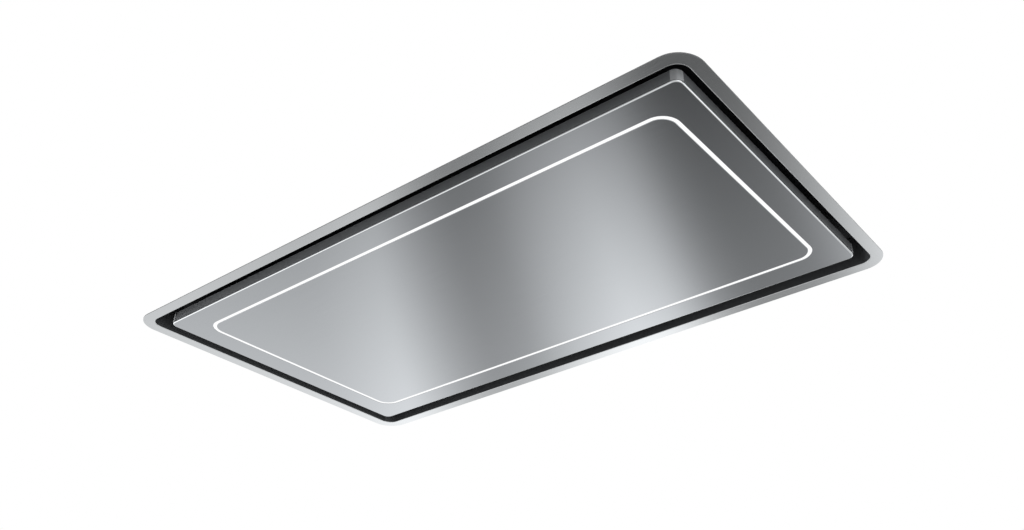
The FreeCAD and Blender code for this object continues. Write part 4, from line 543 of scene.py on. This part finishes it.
# ---------------------------------------------------------------- operators
class HOOD_OT_camera(bpy.types.Operator):
    """Put the camera where the photograph was taken from, below the near corner of the hood"""

    bl_idname = "hood.camera"
    bl_label = "Camera"

    def execute(self, context):
        yaw, pitch, roll = (math.radians(angle) for angle in CAMERA_TURN)
        ahead = Vector((math.sin(yaw) * math.cos(pitch), math.cos(yaw) * math.cos(pitch), math.sin(pitch)))
        level = Vector((math.cos(yaw), -math.sin(yaw), 0.0))
        above = level.cross(ahead)
        right = level * math.cos(roll) + above * math.sin(roll)
        up = above * math.cos(roll) - level * math.sin(roll)
        lens = bpy.data.cameras.new("camera")
        lens.sensor_width = SENSOR_WIDTH
        lens.lens = FOCAL_PIXELS / PICTURE_WIDTH * SENSOR_WIDTH
        lens.shift_x, lens.shift_y = LENS_SHIFT
        lens.clip_start, lens.clip_end = 0.01, 200.0
        camera = bpy.data.objects.new("camera", lens)
        turned = Matrix((right, up, -ahead)).transposed().to_4x4()
        camera.matrix_world = Matrix.Translation(CAMERA_PLACE) @ turned
        context.scene.collection.objects.link(camera)
        context.scene.camera = camera
        return {"FINISHED"}


class HOOD_OT_stage(bpy.types.Operator):
    """Make the ceiling that the hood is set in, the room's graded reflector and the lamps"""

    bl_idname = "hood.stage"
    bl_label = "Ceiling and light"

    def execute(self, context):
        sizes = context.scene.hood_sizes
        context.scene.view_settings.view_transform = "Standard"
        self.ceiling(sizes)
        self.reflector()
        self.world(context)
        for lamp in LAMPS:
            self.lamp(context, *lamp)
        return {"FINISHED"}

    def lamp(self, context, name, place, size, power):
        """A square soft lamp at a place, turned to the middle of the hood. It lights paint and plastic, and
        leaves no bright square on the steel, whose light comes from the reflector."""
        lamp = bpy.data.lights.new(name, "AREA")
        lamp.energy, lamp.size = power, size
        holder = bpy.data.objects.new(name, lamp)
        turned = Vector(place).to_track_quat("Z", "Y").to_matrix().to_4x4()
        holder.matrix_world = Matrix.Translation(place) @ turned
        holder.visible_glossy = False
        context.scene.collection.objects.link(holder)

    def ceiling(self, sizes):
        """A flat white ceiling with the cut-out that the case goes through, at the top of the gasket."""
        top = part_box("flange_gasket")[1].z
        outline = (CEILING_SIDE, CEILING_SIDE, CEILING_CORNER, top)
        hole = (sizes.flange_length - HOLE_MARGIN, sizes.flange_depth - HOLE_MARGIN, HOLE_CORNER, top)
        grid = rings([outline, hole], HOLE_POINTS)
        points = grid.reshape(-1, 3)
        ceiling = mesh_piece("ceiling", points, wrapped(grid, False)[:, ::-1])
        material, tree, output = blank("white ceiling paint")
        path, seen = seen_plainly(tree)
        paint = node(tree, "ShaderNodeBsdfDiffuse", {"Color": linear("#f2f2f2")})
        white = node(tree, "ShaderNodeEmission", {"Strength": 1.0})
        front = node(tree, "ShaderNodeMixShader", links={0: (seen, 0), 1: (paint, 0), 2: (white, 0)})
        clear = node(tree, "ShaderNodeBsdfTransparent")
        boards = node(tree, "ShaderNodeEmission", {"Strength": BOARDS_SHADE})
        back = node(
            tree, "ShaderNodeMixShader", links={0: (path, "Is Glossy Ray"), 1: (clear, 0), 2: (boards, 0)})
        facing = node(tree, "ShaderNodeNewGeometry")
        both = node(
            tree, "ShaderNodeMixShader", links={0: (facing, "Backfacing"), 1: (front, 0), 2: (back, 0)})
        tree.links.new(both.outputs[0], output.inputs[0])
        ceiling.data.materials.append(material)

    def reflector(self):
        """The room as the steel mirrors it: a ball round the hood, light and dark by direction. The bearing
        is arctan(x / y), shifted a little with the dip below the horizon, and sets the shade of the walls;
        they darken with the dip. The floor is grey, with a lighter strip on two sides where it meets the
        walls. Above the ceiling the shade follows the bearing alone."""
        dip = np.radians(np.linspace(-ROOM_REACH, ROOM_REACH, ROOM_RINGS))[:, None]
        turn = np.linspace(0, 2 * math.pi, ROOM_COLUMNS, endpoint=False)[None, :]
        grid = ROOM_RADIUS * np.stack([
            np.cos(dip) * np.cos(turn), np.cos(dip) * np.sin(turn), -np.sin(dip) * np.ones_like(turn),
        ], 2)
        bowl = mesh_piece("reflector", *capped(grid))
        bowl.visible_camera = False
        bowl.visible_diffuse = False
        bowl.visible_shadow = False
        bowl.visible_transmission = False
        material, tree, output = blank("graded reflector cloth")
        place = node(tree, "ShaderNodeTexCoord")
        split = node(tree, "ShaderNodeSeparateXYZ", links={0: (place, "Object")})
        bearing = node(tree, "ShaderNodeMath", {"operation": "ARCTAN2"}, {0: (split, 0), 1: (split, 1)})
        sink = node(tree, "ShaderNodeMath", {"operation": "DIVIDE", 1: -ROOM_RADIUS}, {0: (split, 2)})
        angle = node(tree, "ShaderNodeMath", {"operation": "ARCSINE"}, {0: (sink, 0)})
        offset = node(
            tree, "ShaderNodeMath", {"operation": "SUBTRACT", 1: math.radians(MIDDLE_DIP)}, {0: (angle, 0)})
        skew = node(
            tree, "ShaderNodeMath", {"operation": "MULTIPLY_ADD", 1: BEARING_SKEW},
            {0: (offset, 0), 2: (bearing, 0)})
        share = node(
            tree, "ShaderNodeMapRange", {1: -math.pi, 2: math.pi, 3: 0.0, 4: 1.0}, {0: (skew, 0)})
        walls = self.walls(tree, share, offset)
        floor = self.floor(tree, share, offset)
        sooner = set_stops(node(tree, "ShaderNodeValToRGB", links={0: (share, 0)}), SOONER_FLOOR)
        sunk = node(
            tree, "ShaderNodeMath", {"operation": "MULTIPLY_ADD", 1: math.radians(SOONER_BY)},
            {0: (sooner, 0), 2: (offset, 0)})
        first, last = (math.radians(dip) for dip in FLOOR_DIPS)
        reached = node(tree, "ShaderNodeMapRange", {1: first, 2: last}, {0: (sunk, 0)})
        below = node(tree, "ShaderNodeMix", links={0: (reached, 0), 2: (walls, 0), 3: (floor, 0)})
        loft = set_stops(node(tree, "ShaderNodeValToRGB", links={0: (share, 0)}), LOFT_SHADES)
        above = node(tree, "ShaderNodeMath", {"operation": "LESS_THAN", 1: 0.0}, {0: (angle, 0)})
        strength = node(tree, "ShaderNodeMix", links={0: (above, 0), 2: (below, 0), 3: (loft, 0)})
        glow = node(tree, "ShaderNodeEmission", {"Color": linear("#f9fcff")}, {"Strength": (strength, 0)})
        tree.links.new(glow.outputs[0], output.inputs[0])
        material.cycles.emission_sampling = "NONE"
        bowl.data.materials.append(material)

    def walls(self, tree, share, offset):
        """The walls' shade: by bearing, and darker with the dip where they fade."""
        shade = set_stops(node(tree, "ShaderNodeValToRGB", links={0: (share, 0)}), WALL_SHADES)
        first, last = (math.radians(dip) for dip in FADE_DIPS)
        fade = node(
            tree, "ShaderNodeMapRange", {1: first, 2: last, 3: FADE_SHARES[0], 4: FADE_SHARES[1]},
            {0: (offset, 0)})
        inside = set_stops(node(tree, "ShaderNodeValToRGB", links={0: (share, 0)}), FADING_WALLS)
        dim = node(
            tree, "ShaderNodeMath", {"operation": "MULTIPLY_ADD", 2: 1.0}, {0: (inside, 0), 1: (fade, 0)})
        return node(tree, "ShaderNodeMath", {"operation": "MULTIPLY"}, {0: (shade, 0), 1: (dim, 0)})

    def floor(self, tree, share, offset):
        """The floor's shade: plain grey, with light strips next to the walls that end with the dip."""
        first, last = (math.radians(dip) for dip in STRIP_DIPS)
        steep = node(
            tree, "ShaderNodeMapRange", {1: first, 2: last, 3: STRIP_STRENGTH, 4: 0.0}, {0: (offset, 0)})
        strips = set_stops(node(tree, "ShaderNodeValToRGB", links={0: (share, 0)}), FLOOR_STRIPS)
        return node(
            tree, "ShaderNodeMath", {"operation": "MULTIPLY_ADD", 2: FLOOR_SHADE},
            {0: (strips, 0), 1: (steep, 0)})

    def world(self, context):
        """White for the camera, for reflections and through glass; a plain soft light for everything else."""
        world = bpy.data.worlds.new("soft room")
        world.use_nodes = True
        tree = world.node_tree
        tree.nodes.clear()
        _, seen = seen_plainly(tree)
        strength = node(tree, "ShaderNodeMapRange", {3: 0.7, 4: 1.0}, {0: (seen, 0)})
        sky = node(tree, "ShaderNodeBackground", {"Color": linear("#ffffff")}, {"Strength": (strength, 0)})
        node(tree, "ShaderNodeOutputWorld", links={0: (sky, 0)})
        world.cycles.sampling_method = "NONE"
        context.scene.world = world


class HOOD_OT_finishes(bpy.types.Operator):
    """Give every CAD node the finish of its material slot"""

    bl_idname = "hood.finishes"
    bl_label = "Finishes"

    def execute(self, context):
        finishes = make_finishes(context.scene.hood_colours)
        for part in frame["record"]["subparts"]:
            piece = frame["nodes"][part["node"]]
            finish = finishes[part["material_slot"]]
            for place in piece.material_slots:
                place.material = finish
            if not piece.material_slots:
                raise RuntimeError(f"{piece.name} has no material slot")
        return {"FINISHED"}


class HOOD_OT_flange(bpy.types.Operator):
    """Make the ceiling frame with its soft fold and deburred edges"""

    bl_idname = "hood.flange"
    bl_label = "Ceiling frame"

    def execute(self, context):
        """The section is the flange, its fold and the stand, carried round the opening."""
        sizes = context.scene.hood_sizes
        wide, sheet, edge = sizes.flange_width, sizes.frame_sheet, sizes.edge
        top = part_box("ceiling_frame")[1].z
        # The flange's outer edge is left as sheared, so it is nearly sharp.
        sheared = edge / 6
        section = rounded(
            [(0, 0), (wide, 0), (wide, sheet), (sheet, sheet), (sheet, top), (0, top)],
            [sizes.flange_bend, sheared, sheared, edge, edge, edge],
        )
        base = (sizes.flange_length - 2 * wide, sizes.flange_depth - 2 * wide, sizes.flange_corner - wide)
        section = held(section)
        grid = around(section, base)
        piece = mesh_piece("flange", grid.reshape(-1, 3), wrapped(grid, True))
        fit(piece, "housing", "brushed_stainless", finish_of("satin stainless frame"), "ceiling_frame")
        outer = section[:, 0] > wide / 2
        # The stand's faces get a darker colour as painted shade.
        more_finishes(
            piece, grid, (upright(section) & ~outer, "stand stainless with painted shade"),
            # The outer edge gets a darker grey as painted shade.
            (upright(section) & outer, "sheared edge with painted shade"),
        )
        return {"FINISHED"}


class HOOD_OT_panel(bpy.types.Operator):
    """Make the two visible parts of the panel: the rim and the face inside the lit slot"""

    bl_idname = "hood.panel"
    bl_label = "Panel"

    def execute(self, context):
        sizes = context.scene.hood_sizes
        steel = finish_of("brushed stainless sheet")
        self.rim(sizes, steel)
        self.face(sizes, steel)
        return {"FINISHED"}

    def rim(self, sizes, steel):
        """The section runs from the slot's turned-up edge over the floor to the wall and its lip. Offsets are
        from the slot's line; those past half way are counted from the panel's own outline instead."""
        sheet, edge, lip = sizes.panel_sheet, sizes.edge, sizes.panel_lip
        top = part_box("panel_rim")[1].z
        gap = (sizes.panel_length - sizes.slot_length) / 2
        section = rounded(
            [
                (0, 0), (gap, 0), (gap, top), (gap - lip, top), (gap - lip, top - sheet),
                (gap - sheet, top - sheet), (gap - sheet, sheet), (sheet, sheet), (sheet, sizes.slot_fold),
                (0, sizes.slot_fold),
            ],
            [sizes.slot_bend, sizes.panel_bend, edge * 2, edge, edge, edge, edge, edge, edge, edge],
        )
        section = held(section)
        outside = section[:, 0] > gap / 2
        out = np.where(outside, section[:, 0] - gap, section[:, 0])
        long_side = np.where(outside, sizes.panel_length, sizes.slot_length) + 2 * out
        short_side = np.where(outside, sizes.panel_depth, sizes.slot_depth) + 2 * out
        corner = np.where(outside, sizes.panel_corner, sizes.slot_corner) + out
        grid = rings(np.column_stack([long_side, short_side, corner, section[:, 1]]))
        piece = mesh_piece("rim", grid.reshape(-1, 3), wrapped(grid, True))
        fit(piece, "panel", "brushed_stainless", steel, "panel_rim")
        wall = upright(section) & outside
        turned = np.arange(grid.shape[1]) % CORNER_POINTS < CORNER_POINTS - 1
        bend = sizes.panel_bend
        from_centre = np.hypot(section[:, 0] - gap + bend, section[:, 1] - bend)
        on_fold = np.isclose(from_centre, bend, atol=1e-6)
        more_finishes(
            # The walls' corners get a lighter colour as painted highlight.
            piece, grid, (wall, "satin stainless side"), (wall[:, None] & turned, "rough corner with painted highlight"),
            # The fold along the panel's edge gets a lighter colour as painted highlight.
            (on_fold & np.roll(on_fold, -1), "fold with painted highlight"),
        )

    def face(self, sizes, steel):
        """A sheet whose edge is turned up: the section runs from the flat underside round the fold and back
        to the flat top, and both flats close to the middle."""
        sheet, edge, high = sizes.panel_sheet, sizes.edge, sizes.slot_fold
        inset = sizes.slot_corner / 2
        section = rounded(
            [(-inset, 0), (0, 0), (0, high), (-sheet, high), (-sheet, sheet), (-inset, sheet)],
            [edge, sizes.slot_bend, edge, edge, edge, edge], closed=False,
        )
        narrow = 2 * sizes.slot_width
        base = (sizes.slot_length - narrow, sizes.slot_depth - narrow, sizes.slot_corner - sizes.slot_width)
        piece = mesh_piece("face", *capped(around(held(section, closed=False), base)))
        fit(piece, "panel", "brushed_stainless", steel, "panel_face")


class HOOD_OT_light(bpy.types.Operator):
    """Make the opal strip of the light with its softly domed face"""

    bl_idname = "hood.light"
    bl_label = "Light"

    def execute(self, context):
        """The section is a stem with a domed end and a wider head, carried round the slot's middle line."""
        sizes = context.scene.hood_sizes
        low, high = (corner.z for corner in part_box("light_diffuser"))
        play, ledge, dome = 0.0001, 0.001, 0.0006
        stem = sizes.slot_width / 2 - play
        head, shoulder = stem + ledge, sizes.slot_fold
        section = rounded(
            [(-stem, low), (stem, low), (stem, shoulder), (head, shoulder), (head, high), (-head, high),
             (-head, shoulder), (-stem, shoulder)],
            [dome, dome, 0.0001, 0.0002, 0.0003, 0.0003, 0.0002, 0.0001],
        )
        base = (
            sizes.slot_length - sizes.slot_width, sizes.slot_depth - sizes.slot_width,
            sizes.slot_corner - sizes.slot_width / 2,
        )
        grid = around(section, base)
        piece = mesh_piece("glow_strip", grid.reshape(-1, 3), wrapped(grid, True))
        fit(piece, "panel", "opal_diffuser", finish_of("lit opal acrylic"), "light_diffuser")
        return {"FINISHED"}


class HOOD_OT_filters(bpy.types.Operator):
    """Weave the wire mesh of the two grease filters"""

    bl_idname = "hood.filters"
    bl_label = "Filter mesh"

    def execute(self, context):
        """Wires run both ways. Each rises and falls as a cosine of half a turn per pitch, and its neighbour
        is half a turn behind, so the wires cross over and under."""
        sizes = context.scene.hood_sizes
        for name in ("left", "right"):
            low, high = (np.array(corner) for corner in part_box("filter_mesh_" + name))
            middle = (low[2] + high[2]) / 2
            lift = sizes.wire / 2
            groups = []
            for axis in (0, 1):
                count = int((high[1 - axis] - low[1 - axis]) / sizes.mesh_pitch)
                cross = int((high[axis] - low[axis]) / sizes.mesh_pitch)
                place = low[1 - axis] + (np.arange(count) + 0.5) / count * (high[1 - axis] - low[1 - axis])
                run = np.linspace(low[axis], high[axis], 2 * cross + 1)
                along, across = np.arange(len(run))[None, :], np.arange(count)[:, None]
                wave = np.cos(math.pi * (along / 2 - 0.5 + across + axis))
                lines = np.zeros((count, len(run), 3))
                lines[:, :, axis] = run
                lines[:, :, 1 - axis] = place[:, None]
                lines[:, :, 2] = middle + lift * wave
                groups.append(tubes(lines, sizes.wire / 2))
            first = len(groups[0][0])
            points = np.vstack([groups[0][0], groups[1][0]])
            quads = np.vstack([groups[0][1], groups[1][1] + first])
            ends = np.vstack([groups[0][2], groups[1][2] + first])
            piece = mesh_piece("weave_" + name, points, quads, ends, sharp=80.0)
            fit(piece, "housing", "filter_aluminium", finish_of("mill-finish filter aluminium"),
                "filter_mesh_" + name)
        return {"FINISHED"}


OPERATORS = (
    HOOD_OT_camera, HOOD_OT_finishes, HOOD_OT_flange, HOOD_OT_panel, HOOD_OT_light, HOOD_OT_filters,
    HOOD_OT_stage,
)


class HOOD_PT_sidebar(bpy.types.Panel):
    """Lists the hood's pieces in the sidebar of the 3D view"""

    bl_idname = "HOOD_PT_sidebar"
    bl_label = "Ceiling range hood"
    bl_space_type = "VIEW_3D"
    bl_region_type = "UI"
    bl_category = "Hood"

    def draw(self, context):
        for operator in OPERATORS:
            self.layout.operator(operator.bl_idname)
        for group in (context.scene.hood_sizes, context.scene.hood_colours):
            for name in group.bl_rna.properties.keys():
                if name not in {"rna_type", "name"}:
                    self.layout.prop(group, name)


CLASSES = (HoodSizes, HoodColours, *OPERATORS, HOOD_PT_sidebar)


def register():
    """Registers the classes and hangs the settings on the scene."""
    for item in CLASSES:
        bpy.utils.register_class(item)
    bpy.types.Scene.hood_sizes = bpy.props.PointerProperty(type=HoodSizes)
    bpy.types.Scene.hood_colours = bpy.props.PointerProperty(type=HoodColours)


def unregister():
    """Takes the settings off the scene and unregisters the classes."""
    del bpy.types.Scene.hood_colours
    del bpy.types.Scene.hood_sizes
    for item in reversed(CLASSES):
        bpy.utils.unregister_class(item)


def main():
    """Registers the add-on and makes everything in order."""
    register()
    for operator in OPERATORS:
        group, name = operator.bl_idname.split(".")
        getattr(getattr(bpy.ops, group), name)()


if __name__ == "__main__":
    main()
